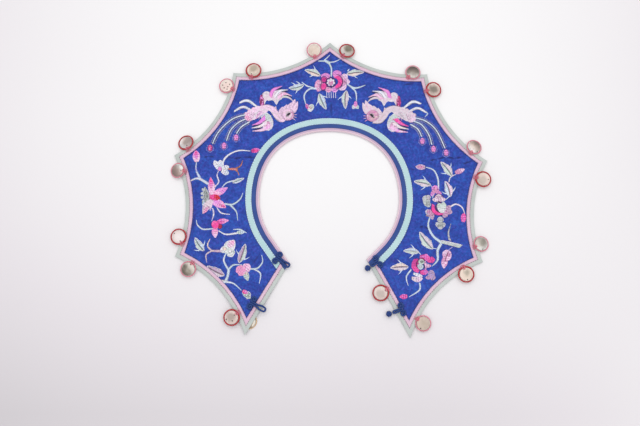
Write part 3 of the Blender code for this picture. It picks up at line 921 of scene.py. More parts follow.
# ---- discs ----
DISC_RADIUS = 6.7
DISC_RISE, DISC_THICKNESS = 0.3, 0.6    # the face's height over the rim's middle; the sheet's own
DISC_SEGMENTS = 56
RIM_BORE_RADIUS = 7.0
RIM_CORDS = {"red": 1.5, "pink": 1.1}   # the rims' thickness
RIM_COLOURS = {"red": (176, 36, 42), "pink": (218, 130, 148), "tarnished": (212, 176, 132)}
RIM_SPREAD = {"red": 0.2, "pink": 0.14, "tarnished": 0.14}
RIM_STEPS, RIM_SIDES = 480, 10
RIM_WIND = (1, 1 / 0.42, 0.14)          # one thread wound round the rim, 0.42 mm a turn
TUCKED = "10"                           # the disc that lies under the left front point
FACES = {
    "dome": [(0.0, 1.2), (0.2, 1.16), (0.4, 1.02), (0.6, 0.78), (0.75, 0.52), (0.87, 0.26),
             (0.94, 0.05)],
    "dish": [(0.0, -0.7), (0.3, -0.7), (0.55, -0.66), (0.63, -0.52), (0.75, -0.30), (0.87, -0.10),
             (0.94, 0.0)],
    "flat": [(0.0, 0.2), (0.35, 0.2), (0.7, 0.19), (0.8, 0.14), (0.88, 0.05), (0.94, 0.0)],
}
RAISED_LIP = [(0.965, 0.12), (0.99, 0.10), (1.0, -0.02)]
# Direction and angle of the slope, face, rim, where the tie holds it (degrees from +X), and the
# holes as (angle, share of the radius).
DISCS = {
    "01": (270, 8, "dome", "pink", 277, [(277, 0.8)]),
    "02": (65, 10, "dish", "red", 234, [(233, 0.65)]),
    "03": (100, 3, "dish", "red", 253, [(243, 0.66)]),
    "04": (200, 8, "flat", "pink", 330,
           [(100, 0.5), (20, 0.55), (170, 0.62), (225, 0.5), (280, 0.6), (320, 0.3)]),
    "05": (145, 17, "dish", "red", 291, [(291, 0.5)]),
    "06": (180, 18, "dome", "pink", 352, [(350, 0.62)]),
    "07": (200, 5, "flat", "red", 297, [(143, 0.84), (292, 0.73)]),
    "08": (225, 4, "dome", "pink", 55, [(60, 0.75)]),
    "09": (200, 6, "flat", "red", 39, [(199, 0.84), (284, 0.52), (39, 0.55)]),
    "10": (0, 0, "flat", "pink", 120, []),
    "11": (90, 3, "dome", "pink", 228, [(228, 0.8)]),
    "12": (340, 8, "dish", "red", 190, [(190, 0.75)]),
    "13": (40, 12, "dome", "pink", 240, [(299, 0.84)]),
    "14": (0, 3, "dish", "red", 166, [(166, 0.84), (358, 0.8)]),
    "15": (0, 11, "dome", "pink", 205, [(283, 0.84)]),
    "16": (330, 4, "flat", "red", 109, [(107, 0.82), (282, 0.82)]),
    "17": (200, 3, "dish", "red", 31, [(31, 0.8)]),
    "18": (320, 4, "flat", "pink", 144, [(241, 0.84)]),
}
# Each disc's plating colours, with reflection and highlight painted in: three colours from the
# middle, or from the dark side, outwards; how far they change with the distance from the middle and
# not across; the way of the painted bright side.
PLATING_WITH_REFLECTION = {
    "01": ((222, 200, 186), (238, 220, 206), (246, 232, 220), 0.4, 60),
    "02": ((214, 198, 186), (244, 230, 220), (252, 250, 244), 0.1, 225),
    "03": ((224, 200, 186), (246, 224, 208), (252, 242, 224), 0.2, 270),
    "04": ((244, 218, 210), (252, 229, 220), (252, 238, 227), 0.6, 90),
    "05": ((210, 190, 188), (248, 234, 230), (252, 252, 252), 0.1, 235),
    "06": ((172, 150, 143), (202, 179, 172), (252, 252, 248), 0.1, 40),
    "07": ((252, 244, 242), (248, 236, 234), (238, 220, 216), 0.8, 90),
    "08": ((136, 126, 114), (184, 176, 164), (236, 228, 218), 0.1, 40),
    "09": ((208, 190, 182), (222, 202, 194), (238, 218, 210), 0.7, 90),
    "10": ((176, 136, 92), (212, 180, 140), (250, 244, 232), 0.1, 0),
    "11": ((124, 112, 106), (157, 145, 137), (223, 216, 209), 0.1, 270),
    "12": ((190, 170, 162), (220, 198, 188), (250, 232, 218), 0.6, 180),
    "13": ((169, 151, 142), (239, 218, 206), (252, 252, 252), 0.1, 225),
    "14": ((226, 206, 200), (240, 220, 212), (248, 228, 216), 0.9, 180),
    "15": ((172, 163, 154), (216, 207, 198), (252, 252, 246), 0.4, 280),
    "16": ((220, 206, 188), (238, 220, 204), (248, 228, 214), 0.7, 200),
    "17": ((208, 192, 184), (232, 210, 202), (246, 234, 226), 0.5, 90),
    "18": ((196, 180, 164), (210, 194, 180), (220, 200, 188), 0.5, 150),
}
# A painted dark reflection on a disc: bearing, distance from the middle and radius in disc radii,
# tone.
PAINTED_DARK_REFLECTIONS = {
    "02": (62, 0.50, 0.70, (142, 134, 120)),
    "03": (95, 0.30, 0.62, (190, 176, 160)),
    "05": (100, 0.24, 0.60, (200, 184, 178)),
    "08": (140, 0.60, 0.24, (84, 78, 66)),
    "09": (140, 0.14, 0.64, (188, 172, 164)),
    "12": (60, 0.10, 0.62, (148, 138, 128)),
    "14": (270, 0.12, 0.60, (212, 198, 188)),
    "15": (60, 0.22, 0.52, (182, 178, 166)),
    "16": (70, 0.34, 0.42, (198, 188, 172)),
    "17": (250, 0.10, 0.60, (206, 191, 184)),
}
PLATING_SHADE = 0.67    # what the soft light from above gives back on a disc


def plated(tone):
    return scaled(linear(tone), PLATING_SHADE)


def plating_material(name, centre, look, patch=None):
    """Thin plated metal with painted reflection: darker on one side or in rings and lighter towards
    its bright side, a painted dark reflection where one is given, and fine streaks and scratches of
    wear.
    """
    low, middle, high, rings, bright = look
    size = DISC_RADIUS * MM
    m = Nodes(name)
    here = m.here()
    moved = m.vector("SUBTRACT", here, centre)
    across = m.vector("DOT_PRODUCT", moved, heading(bright))
    reach = m.times(m.vector("LENGTH", moved), rings / size)
    lean = m.times(across, (1 - rings) * 0.5 / size)
    cloud = m.noise(230.0, 3.0, 0.6)
    veil = m.range(cloud, 0.28 - 0.5 * rings, 0.72 - 0.5 * rings)
    # the ramp below paints reflection and highlight into the plating's colour
    place = m.plus(reach, lean, veil)
    tones = [plated(tone) for tone in (low, middle, high)]
    base = m.ramp(place, (0.16, tones[0]), (0.5, tones[1]), (0.86, tones[2]))
    streaks = m.noise((520.0, 150.0, 300.0), 4.0, 0.7, 0.7)
    mask = m.ramp(streaks, (0.52, BLACK), (0.66, WHITE))
    base = m.mix(m.times(mask, 0.45), base, tones[0])
    # a painted dark reflection on the disc's face
    if patch:
        bearing, away, radius, tone = patch
        apart = m.vector("DISTANCE", here, Vector(centre) + heading(bearing) * (away * size))
        shaken = m.plus(m.times(cloud, 0.5 * size), apart)
        dark_reflection_mask = m.range(shaken, 0.0, 1.0, (radius + 0.44) * size, (radius + 0.02) * size)
        base = m.mix(dark_reflection_mask, base, plated(tone))
    scratches = m.noise((300.0, 5200.0, 300.0), 2.0, 0.5, 0.4)
    worn = m.plus(m.times(mask, 0.5), m.times(scratches, 0.5))
    m.set(
        Base_Color=base,
        Metallic=0.75,
        Roughness=m.range(worn, 0.30, 0.55),
        Normal=m.bump(m.plus(scratches, cloud), 0.25, 0.00006),
    )
    return m.material


def disc_matrix(name, slope, tilt):
    """A disc's place in the middle of its rim's box, tilted so that it falls towards slope."""
    low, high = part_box("rim_" + name)
    turn = Matrix.Rotation(math.radians(tilt), 4, left_of(heading(slope)).to_3d())
    return Matrix.Translation((low + high) / 2 / MM) @ turn


def placed(matrix, verts):
    """Points moved by a matrix."""
    at = np.asarray(verts, dtype=float)
    turn = np.array(matrix.to_3x3())
    return at @ turn.T + np.array(matrix.translation)


def turned(profile):
    """A solid of revolution from (radius, height) rows that begin and end on the axis."""
    inner = profile[1:-1]
    angles = np.linspace(0, 2 * math.pi, DISC_SEGMENTS, endpoint=False)
    verts = [(0.0, 0.0, profile[0][1])]
    for radius, height in inner:
        verts += [(radius * math.cos(a), radius * math.sin(a), height) for a in angles]
    verts.append((0.0, 0.0, profile[-1][1]))
    faces = []
    for k in range(DISC_SEGMENTS):
        following = (k + 1) % DISC_SEGMENTS
        faces.append((0, 1 + k, 1 + following))
        for r in range(len(inner) - 1):
            a, b = 1 + r * DISC_SEGMENTS, 1 + (r + 1) * DISC_SEGMENTS
            faces.append((a + k, b + k, b + following, a + following))
        last = 1 + (len(inner) - 1) * DISC_SEGMENTS
        faces.append((last + k, len(verts) - 1, last + following))
    return verts, faces


def face_height(face, share):
    """Height of a disc's face at a share of its radius."""
    rows = FACES[face] + RAISED_LIP
    return float(np.interp(share, [r[0] for r in rows], [r[1] for r in rows])) + DISC_RISE


def wound_rim(cord, heavy):
    """A rim's tube: cord wound evenly, a little fuller on the side that it is tied by."""
    middle = RIM_BORE_RADIUS + cord
    route, radii = [], []
    for i in range(RIM_STEPS):
        angle = 2 * math.pi * i / RIM_STEPS
        route.append((middle * math.cos(angle), middle * math.sin(angle), 0.0))
        lean, ripple = 0.10 * math.cos(angle - heavy), 0.05 * math.sin(5 * angle + heavy)
        radii.append(cord * (1.0 + lean + ripple))
    return tube(route, radii, RIM_SIDES, RIM_WIND, closed=True)


HOLE_RADIUS, HOLE_SIDES, BURR_RADIUS = 0.5, 14, 0.12


def punched_hole(face, angle, share):
    """A hole's burr and the dark cap that fills it as painted shade, each as points and faces."""
    a = math.radians(angle)
    at = Vector((share * DISC_RADIUS * math.cos(a), share * DISC_RADIUS * math.sin(a)))
    level = face_height(face, share)

    def circle(height):
        return [(at.x + HOLE_RADIUS * math.cos(t), at.y + HOLE_RADIUS * math.sin(t), level + height)
                for t in np.linspace(0, 2 * math.pi, HOLE_SIDES, endpoint=False)]

    faces = [tuple(range(HOLE_SIDES)), tuple(range(2 * HOLE_SIDES - 1, HOLE_SIDES - 1, -1))]
    for k in range(HOLE_SIDES):
        following = (k + 1) % HOLE_SIDES
        faces.append((k, HOLE_SIDES + k, HOLE_SIDES + following, following))
    return tube(circle(0.03), BURR_RADIUS, 6, closed=True), (circle(0.06) + circle(-0.1), faces)


def discs():
    """Each disc with its burred holes, its wound cord rim, and the threads that tie it on."""
    made = []
    ties, holes = Soup(), Soup()
    rims = {colour: thread_material(colour + "_wound_cord", RIM_COLOURS[colour], 0.6, spread)
            for colour, spread in RIM_SPREAD.items()}
    for name, (slope, tilt, face, colour, tie, punched) in DISCS.items():
        place = disc_matrix(name, slope, tilt)
        top = [(share * DISC_RADIUS, height + DISC_RISE)
               for share, height in FACES[face] + RAISED_LIP]
        under = [(radius, height - DISC_THICKNESS) for radius, height in reversed(top[:-1])]
        verts, faces = turned(top + under)
        plating = plating_material("plating_" + name, tuple(place.translation * MM),
                                   PLATING_WITH_REFLECTION[name], PAINTED_DARK_REFLECTIONS.get(name))
        made.append(add_piece("tin_" + name, placed(place, verts), faces, plating, "disc_metal",
                              ["disc_" + name], 50))
        cord = RIM_CORDS[colour] / 2
        verts, faces = wound_rim(cord, math.radians(tie))
        rim = rims["tarnished" if name == TUCKED else colour]
        made.append(add_piece("wound_rim_" + name, placed(place, verts), faces, rim,
                              colour + "_cord", ["rim_" + name]))
        for angle, share in punched:
            for verts, faces in punched_hole(face, angle, share):
                holes.add(placed(place, verts), faces)
        if name != TUCKED:
            tie_disc(ties, place, face, tie, cord)
    silk = thread_material("tie_silk", (224, 120, 140), 0.5, 0.2)
    made.append(ties.piece("disc_ties", silk, "pink_cord"))
    # the holes' dark caps: painted shade, a little mottled
    dark = Nodes("punched_hole")
    cap_shade_mottle = dark.noise(900.0, 2.0, 0.5)
    colour = dark.ramp(cap_shade_mottle, (0.3, linear((52, 42, 40))), (0.7, linear((96, 80, 76))))
    dark.set(Base_Color=colour, Roughness=0.6, Metallic=0.3)
    made.append(holes.piece("disc_holes", dark.material, "disc_metal"))
    return made


TIE_STRANDS, TIE_SPACING = 6, 5.0       # strands of a bundle, and the degrees between them


def tie_disc(ties, place, face, direction, cord):
    """A bundle of silk strands from the disc's face over its rim and down into the border."""
    for k in range(TIE_STRANDS):
        spread = (k - (TIE_STRANDS - 1) / 2) * TIE_SPACING + RANDOM.uniform(-2.0, 2.0)
        out = heading(direction + spread)
        start = RANDOM.uniform(0.74, 0.84)
        crest = cord + 0.35 + 0.12 * (k % 3)
        route = [place @ (out * radius + Vector((0.0, 0.0, height))) for radius, height in (
            (start * DISC_RADIUS, face_height(face, start) + 0.1),
            (DISC_RADIUS - 0.5, 0.75),
            (RIM_BORE_RADIUS + cord, crest),
        )]
        over = place.to_3x3() @ out
        foot = place.translation + over * (RIM_BORE_RADIUS + 2 * cord + RANDOM.uniform(0.7, 1.5))
        low = footing(foot)
        route.append(Vector((foot.x, foot.y, max(low + 0.5, (low + route[-1].z) / 2))))
        end = foot + over * 0.8
        route.append(Vector((end.x, end.y, footing(end))))
        ties.add(*tube(smooth(route, 4), 0.2, 6))


OUTLINE = np.array(border_edge(0.0))


def footing(at):
    """Height that a thread is sewn down to: the border's inside the collar's outline, or else the
    table's."""
    ahead = np.roll(OUTLINE, -1, axis=0)
    spans = (OUTLINE[:, 1] > at.y) != (ahead[:, 1] > at.y)
    a, b = OUTLINE[spans], ahead[spans]
    cross = a[:, 0] + (at.y - a[:, 1]) * (b[:, 0] - a[:, 0]) / (b[:, 1] - a[:, 1])
    inside = np.count_nonzero(cross > at.x) % 2
    return float(BAND_TOP - 0.1 + lift(at.x, at.y)) if inside else 0.25


# ---- frogs ----
FROG_CORD = 1.9
FROG_MIDDLE = BAND_TOP + GAP + FROG_CORD / 2
FROG_STEPS, FROG_SIDES = 240, 12
CORD_RADIUS = 1.05                      # the cord and the swell of its twist
CORD_WIND = (3, 0.30, 0.18)             # three plies
COIL_CORE, COIL_PITCH, COIL_TURNS, COIL_STEPS = 0.20, 1.98, 1.52, 38
STEM_HALF, STEM_START, STEM_SHARE = 1.1, 1.8, 0.62
LOOP_RADIUS, LOOP_OPEN = 2.15, 130      # a loop's bend, and how far round it goes to each side
LOOP_DROOP = 0.5                        # how steeply a loop falls beyond the front edge
BEND_STEPS, QUARTER_TURN = 10, 90
KNOT_RADIUS = 3.1
STRAND_RADIUS = 0.92                    # of the one cord that makes a ball knot
STRAND_WIND = (2, 0.35, 0.10)
ROUNDS, WEAVES = 3, 4                   # the cord's rounds of a knot, and its swings up and down
SWING = math.radians(62)
CROSSING = 0.26                         # how far it passes over and under itself
KNOT_STEPS, KNOT_SIDES = 260, 10
# Middle between the coils, the way it points, reach to the loop's end or the knot, the coils' half
# distance, kind, and the length of a loop's straight sides.
FROGS = [
    ("upper", -54.1, -77.1, -36.0, 12.2, 4.1, "loop", 0.0),
    ("lower", -79.2, -123.0, -29.0, 12.9, 4.1, "loop", 3.6),
    ("upper", 46.9, -80.9, 213.0, 11.9, 4.1, "stem", 0.0),
    ("lower", 70.2, -129.3, 199.0, 13.3, 4.1, "stem", 0.0),
]
# The small stitches that hold a coil down, and the bigger wraps across a stem: half length, height
# of the crown over the cord's middle, and the radius of the thread.
COIL_STITCHES, COIL_STITCH_PLACE = 5, 2.0
COIL_STITCH = (1.1, 1.0, 0.1)
WRAP_SHARES = (0.3, 0.44, 0.58)         # where the wraps lie along a frog's reach
WRAP_STITCH = (2.1, 0.98, 0.13)


def coil(spread, side):
    """A flat coil's route in the frog's own plane, from its core out to where the stem starts."""
    route = []
    for i in range(COIL_STEPS + 1):
        share = i / COIL_STEPS
        radius = COIL_CORE + COIL_PITCH * COIL_TURNS * share
        angle = side * (2 * math.pi * COIL_TURNS * (share - 1) - math.pi / 2)
        route.append(Vector((radius * math.cos(angle), side * spread + radius * math.sin(angle))))
    return route


def frog_route(reach, spread, end, eye):
    """The cord in its own plane: out of one coil, along the stem, round the end and back."""
    if end == "loop":
        centre, radius, widest = reach, LOOP_RADIUS, LOOP_OPEN
    else:
        centre = reach - KNOT_RADIUS - GAP - FROG_CORD / 2 - STEM_HALF
        radius, widest = STEM_HALF, QUARTER_TURN
    bend = []
    for i in range(BEND_STEPS + 1):
        degrees = widest * (1 - 2 * i / BEND_STEPS)
        middle = centre if abs(degrees) <= QUARTER_TURN else centre - eye
        angle = math.radians(degrees)
        bend.append(Vector((middle + radius * math.cos(angle), radius * math.sin(angle))))
    out = [Vector((STEM_START, STEM_HALF)), Vector(((centre - eye) * STEM_SHARE, STEM_HALF))]
    back = [Vector((p.x, -p.y)) for p in reversed(out)]
    return coil(spread, 1) + out + bend + back + coil(spread, -1)[::-1]


def softened(points):
    """A chain with every corner cut off."""
    cut = [points[0]]
    for a, b in zip(points, points[1:]):
        cut += [a.lerp(b, 0.25), a.lerp(b, 0.75)]
    return cut + [points[-1]]


def knot_surface(centre):
    """A ball knot: one cord woven over and under itself round a ball."""
    soup = Soup()
    radius = KNOT_RADIUS - STRAND_RADIUS - 0.12
    route = []
    for i in range(KNOT_STEPS):
        t = 2 * math.pi * i / KNOT_STEPS
        longitude = ROUNDS * t
        latitude = SWING * math.sin(WEAVES * t)
        shell = radius + CROSSING * math.cos(2 * WEAVES * t + 0.9)
        route.append((
            centre.x + shell * math.cos(latitude) * math.cos(longitude),
            centre.y + shell * math.cos(latitude) * math.sin(longitude),
            centre.z + shell * math.sin(latitude),
        ))
    soup.add(*tube(route, STRAND_RADIUS, KNOT_SIDES, STRAND_WIND, closed=True))
    ball = bmesh.new()
    bmesh.ops.create_icosphere(ball, subdivisions=3, radius=radius + 0.1)
    soup.add([tuple(v.co + centre) for v in ball.verts],
             [[v.index for v in f.verts] for f in ball.faces])
    ball.free()
    return soup


def coil_stitch(share):
    """Height of a coil's stitch over the cord's middle, as it bends down on both sides."""
    return COIL_STITCH[1] * math.sqrt(max(0.0, 1 - 0.9 * share * share)) - 0.04


def wrap_stitch(share):
    """The same for a wrap, which runs level over the stem and falls at its ends."""
    return WRAP_STITCH[1] - 1.6 * max(0.0, abs(share) - 0.6)


def frogs():
    """Four frogs of twisted cord, each sewn down, two with a loop and two with a ball knot."""
    made = []
    cord = thread_material("navy_twisted_cord", (14, 54, 122), 0.6, 0.2)
    sewing = Soup()
    for name, x, y, turn, reach, spread, end, eye in FROGS:
        facing = Matrix.Rotation(math.radians(turn), 2)
        route = []
        for local in spaced(softened(softened(frog_route(reach, spread, end, eye))), FROG_STEPS):
            at = Vector((x, y)) + facing @ local
            beyond = -FRONT_LEFT.depth(at) - FROG_CORD
            droop = LOOP_DROOP * max(beyond, 0.0) if end == "loop" else 0.0
            route.append(Vector((at.x, at.y, FROG_MIDDLE + float(lift(at.x, at.y)) - droop)))
        verts, faces = tube(route, CORD_RADIUS, FROG_SIDES, CORD_WIND)
        made.append(add_piece(f"cord_{end}_{name}", verts, faces, cord, "navy_cord",
                              [f"frog_{end}_{name}"]))

        def arch(local, direction, half, shape, shares):
            """A stitch's route across the cord at a place in the frog's own plane."""
            at = Vector((x, y)) + facing @ local
            across = facing @ direction
            height = FROG_MIDDLE + float(lift(at.x, at.y))
            places = [(at + across * (share * half), shape(share)) for share in shares]
            return [(p.x, p.y, height + rise) for p, rise in places]

        for side in (1, -1):
            for k in range(COIL_STITCHES):
                angle = math.radians(360 / COIL_STITCHES * k + 20)
                out = Vector((math.cos(angle), math.sin(angle)))
                local = Vector((COIL_STITCH_PLACE * math.cos(angle),
                                side * spread + COIL_STITCH_PLACE * math.sin(angle)))
                bent = arch(local, out, COIL_STITCH[0], coil_stitch, (-1.0, -0.6, 0.0, 0.6, 1.0))
                sewing.add(*tube(bent, COIL_STITCH[2], 5))
        for share in WRAP_SHARES:
            bent = arch(Vector((reach * share, 0.0)), Vector((0.0, 1.0)), WRAP_STITCH[0],
                        wrap_stitch, (-1.0, -0.75, -0.3, 0.3, 0.75, 1.0))
            sewing.add(*tube(smooth(bent, 3), WRAP_STITCH[2], 5))
        if end == "stem":
            low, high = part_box("knot_ball_" + name)
            knot = knot_surface((low + high) / 2 / MM)
            made.append(knot.piece("ball_knot_" + name, cord, "navy_cord", ["knot_ball_" + name]))
    silk = thread_material("frog_silk", (46, 78, 140))
    made.append(sewing.piece("frog_stitches", silk, "silk_thread"))
    return made


# ---- embroidery ----
# Places are given in the photograph's pixels and laid on the cloth by spot(). The forms are this
# scene's own: petals, leaves, feathers and buds that the functions below draw between two places.
# Each silk colour is one piece.
SILKS = {
    "white": (240, 236, 246),
    "frost": (206, 222, 240),
    "blush": (244, 212, 238),
    "shell": (226, 210, 222),
    "pink": (246, 166, 210),
    "petal": (220, 152, 198),
    "orchid": (236, 148, 230),
    "rose": (244, 84, 172),
    "magenta": (206, 60, 152),
    "wine": (146, 42, 100),
    "plum": (92, 30, 112),
    # a dark silk for dark petals, and for the painted shade in the wings' slits
    "night": (36, 24, 80),
    "red": (218, 38, 54),
    "mint": (206, 220, 214),
    "sage": (124, 136, 132),
    "grey": (196, 198, 202),
    "lilac": (176, 164, 228),
    "smoke": (106, 100, 168),
    "dusk": (196, 166, 196),
    "peach": (236, 216, 210),
    "orange": (208, 126, 100),
    "tan": (136, 108, 108),
    "ink": (38, 36, 54),
}
THREADS = {name: Stitches() for name in SILKS}
THREAD_WIDTH = 0.50
THREAD_SPACING = 0.36
SHORTEST_STITCH, LONGEST_STITCH = 0.25, 6.5
LAP = 0.5               # how far the halves of a long stitch overlap, and a barb's stitches
STRAY = (-0.10, 0.12)   # how far an oval's stitches stop short of its rim or pass it
PETAL_STITCH = 2.6      # longest stitch in a petal's rows
PETAL_HEIGHT, LEAF_HEIGHT, LINE_HEIGHT, BARB_HEIGHT = 0.22, 0.24, 0.2, 0.14
STEM_STITCH = 1.1       # spacing of a thin line's stitches
SPINE_STEP = 0.62       # spacing of the barbs along a tail feather
LAYER = 0.2             # height of one layer of stitches above the one below
FLECK_SHARE = 0.24      # share of the stitches worked in a form's fleck colour
PALE_SHARE = 0.12       # share of a leaf's stitches worked in grey
PIXEL = DISTANCE / FOCAL


def flecked(colour, fleck):
    return fleck if fleck and RANDOM.random() < FLECK_SHARE else colour


def arc(centre, across, down, start, end, count=7):
    """Pixels on an oval's rim between two angles, in degrees, clockwise from its right side."""
    return [(centre[0] + across * math.cos(t), centre[1] + down * math.sin(t))
            for t in np.radians(np.linspace(start, end, count))]


def thread(colour, a, b, layer=0, width=THREAD_WIDTH, height=None):
    """One satin stitch, longer ones a little higher; very long ones are worked in two."""
    length = (b - a).length
    if length < SHORTEST_STITCH:
        return
    if length > LONGEST_STITCH:
        cut = a.lerp(b, RANDOM.uniform(0.4, 0.6))
        lap = (b - a).normalized() * LAP
        thread(colour, a, cut + lap, layer, width, height)
        thread(colour, cut - lap, b, layer, width, height)
        return
    if height is None:
        height = min(0.15 + 0.03 * length, 0.30)
    THREADS[colour].add(a, b, width, height, layer * LAYER)


def oval(colour, centre, across, down, fleck=None, layer=0, turn=0):
    """An oval filled with parallel stitches that lean by turn degrees."""
    middle = spot(*centre)
    lean = math.radians(turn)
    along = Vector((math.cos(lean), math.sin(lean)))
    side = left_of(along)
    wide, high = across * PIXEL, down * PIXEL
    count = max(2, round(2 * high / THREAD_SPACING))
    for i in range(count):
        level = 2 * (i + 0.5) / count - 1
        reach = wide * math.sqrt(1 - level * level)
        start, end = RANDOM.uniform(*STRAY), RANDOM.uniform(*STRAY)
        at = middle + side * (level * high)
        thread(flecked(colour, fleck), at - along * (reach + start), at + along * (reach + end),
               layer)


def chain(points, spacing):
    """A smooth line through pixels, in even steps in millimetres."""
    route = smooth([spot(*p) for p in points], 8)
    length = sum((b - a).length for a, b in zip(route, route[1:]))
    return spaced(route, max(2, round(length / spacing)))


def stroke(colour, fleck, points, widths, layer=0):
    """A tapering stem of slanted satin stitches; widths, in pixels, are spread along it."""
    route = chain(points, THREAD_SPACING)
    last = len(route) - 1
    for i, at in enumerate(route):
        along = (route[min(i + 1, last)] - route[max(i - 1, 0)]).normalized()
        width = float(np.interp(i / last, np.linspace(0, 1, len(widths)), widths)) * PIXEL
        lean = along * (0.35 * width)
        side = left_of(along) * (0.5 * width)
        thread(flecked(colour, fleck), at - side - lean, at + side + lean, layer,
               min(THREAD_WIDTH, 0.75 * width))


def line(colour, points, width, layer=0):
    """A thin line of overlapping stem stitches."""
    steps = chain(points, STEM_STITCH)
    for i in range(len(steps) - 1):
        a, b = steps[i], steps[min(i + 2, len(steps) - 1)]
        if (b - a).length > 0.3:
            off = left_of((b - a).normalized()) * (0.07 if i % 2 else -0.07)
            thread(colour, a + off, b + off, layer, width, LINE_HEIGHT)


def petal(inner, outer, base, tip, half, blunt=0.5, fleck=None, layer=0, bend=0.0, lobes=0,
          edge=None):
    """A petal from base to tip in long and short stitches, one silk near its base, the other near
    its tip. half is half its width in pixels, bend how far it bows to its left as a share of its
    length, blunt 0 for a pointed tip and 1 for a round one, lobes the scallops of its far end."""
    a, b = spot(*base), spot(*tip)
    length = (b - a).length
    side = left_of((b - a).normalized())
    middle = a.lerp(b, 0.5) + side * (2 * bend * length)

    def at(share, q):
        past = max(0.0, (share - 0.5) / 0.5)
        width = 0.45 + 0.55 * math.sin(math.pi / 2 * min(1.0, share / 0.5))
        width *= max(0.0, 1 - past ** (1.2 + 2.2 * blunt)) ** (1 - 0.5 * blunt)
        axis = a * (1 - share) ** 2 + middle * (2 * share * (1 - share)) + b * share * share
        return axis + side * (q * width * half * PIXEL)

    count = max(3, round(2 * half * PIXEL / THREAD_SPACING))
    pieces = max(2, math.ceil(length / PETAL_STITCH))
    for i in range(count):
        q = 2 * (i + 0.5) / count - 1
        end = 1 - (0.22 * (1 - abs(math.cos(math.pi * lobes * q / 2))) if lobes else 0)
        border = 0.5 + RANDOM.uniform(-0.2, 0.2)
        marks = [end * (k + RANDOM.uniform(-0.2, 0.2) * (0 < k < pieces)) / pieces
                 for k in range(pieces + 1)]
        for low, high in zip(marks, marks[1:]):
            silk = flecked(inner if (low + high) / 2 < border else outer, fleck)
            thread(silk, at(max(low - 0.03, 0), q), at(min(high + 0.03, 1), q), layer,
                   THREAD_WIDTH, PETAL_HEIGHT)
    if edge:
        for q in (-0.97, 0.97):
            marks = [at(share, q) for share in np.linspace(0, 0.97, pieces + 2)]
            for p, following in zip(marks, marks[1:]):
                thread(edge, p, following + (following - p) * 0.1, layer + 1, 0.55, PETAL_HEIGHT)


def leaf(colours, base, tip, half, bend=0.0, barbs=()):
    """A pointed leaf: slanted stitches each side of a dark vein, a pale edge, and curved barbs.
    colours are for the left side, the right side and the vein, looking from base to tip; barbs are
    (share along the leaf, side, length in pixels)."""
    a, b = spot(*base), spot(*tip)
    length = (b - a).length
    along = (b - a).normalized()
    side = left_of(along)
    middle = a.lerp(b, 0.5) + side * (2 * bend * length)

    def axis(s):
        return a * (1 - s) ** 2 + middle * (2 * s * (1 - s)) + b * s * s

    def rim(s, k):
        tooth = (3.4 * s + 0.2 * k) % 1.0
        rise, fall = min(1.0, s / 0.36) ** 0.55, min(1.0, (1 - s) / 0.6) ** 0.62
        width = half * PIXEL * rise * fall * (0.84 + 0.24 * tooth)
        return axis(s) + side * (k * width) + along * (0.25 * width * (1 - s))

    count = round(length / (THREAD_SPACING * 0.95))
    for i in range(count + 1):
        s = i / count
        for k, colour in zip((1, -1), colours[:2]):
            silk = "grey" if RANDOM.random() < PALE_SHARE else colour
            thread(silk, axis(s) + side * (0.08 * k), rim(s, k), 0, THREAD_WIDTH, LEAF_HEIGHT)
    for k in (1, -1):
        marks = [rim(s, 0.96 * k) for s in np.linspace(0, 1, max(5, round(length / 1.4)))]
        for p, q in zip(marks, marks[1:]):
            thread("white", p, q + (q - p) * 0.15, 1, 0.62, PETAL_HEIGHT)
    for share, k, reach in barbs:
        root = axis(share) + side * (k * half * PIXEL * 0.8)
        out = (side * k + along * 0.55).normalized() * (reach * PIXEL)
        curl = along * (reach * PIXEL * 0.3)
        route = spaced(smooth([root, root + out * 0.6 + curl * 0.2, root + out + curl], 5), 7)
        for j, (p, q) in enumerate(zip(route, route[1:])):
            lay = (q - p).normalized()
            width = max(0.45, 1.8 * (1 - j / 8))
            thread("frost", p - lay * LAP, q + lay * LAP, 0, width, LEAF_HEIGHT)
    vein = [axis(s) for s in np.linspace(0.06, 0.86, max(5, round(length / 1.2)))]
    for j, (p, q) in enumerate(zip(vein, vein[1:])):
        width = 0.9 - 0.4 * j / len(vein)
        thread(colours[2], p, q + (q - p) * 0.3, 1.2, width, LEAF_HEIGHT)


def each(form, rows):
    """Works a form once for every row of its values."""
    for row in rows:
        form(*row)


def bud(rim, core, base, tip, half):
    """A closed bud: a petal of one silk with a smaller one of another on it."""
    petal(rim, rim, base, tip, half, blunt=0.2, fleck="blush")
    inside = [tuple(b + (t - b) * share for b, t in zip(base, tip)) for share in (0.18, 0.86)]
    petal(core, core, *inside, 0.5 * half, layer=1, blunt=0.3)


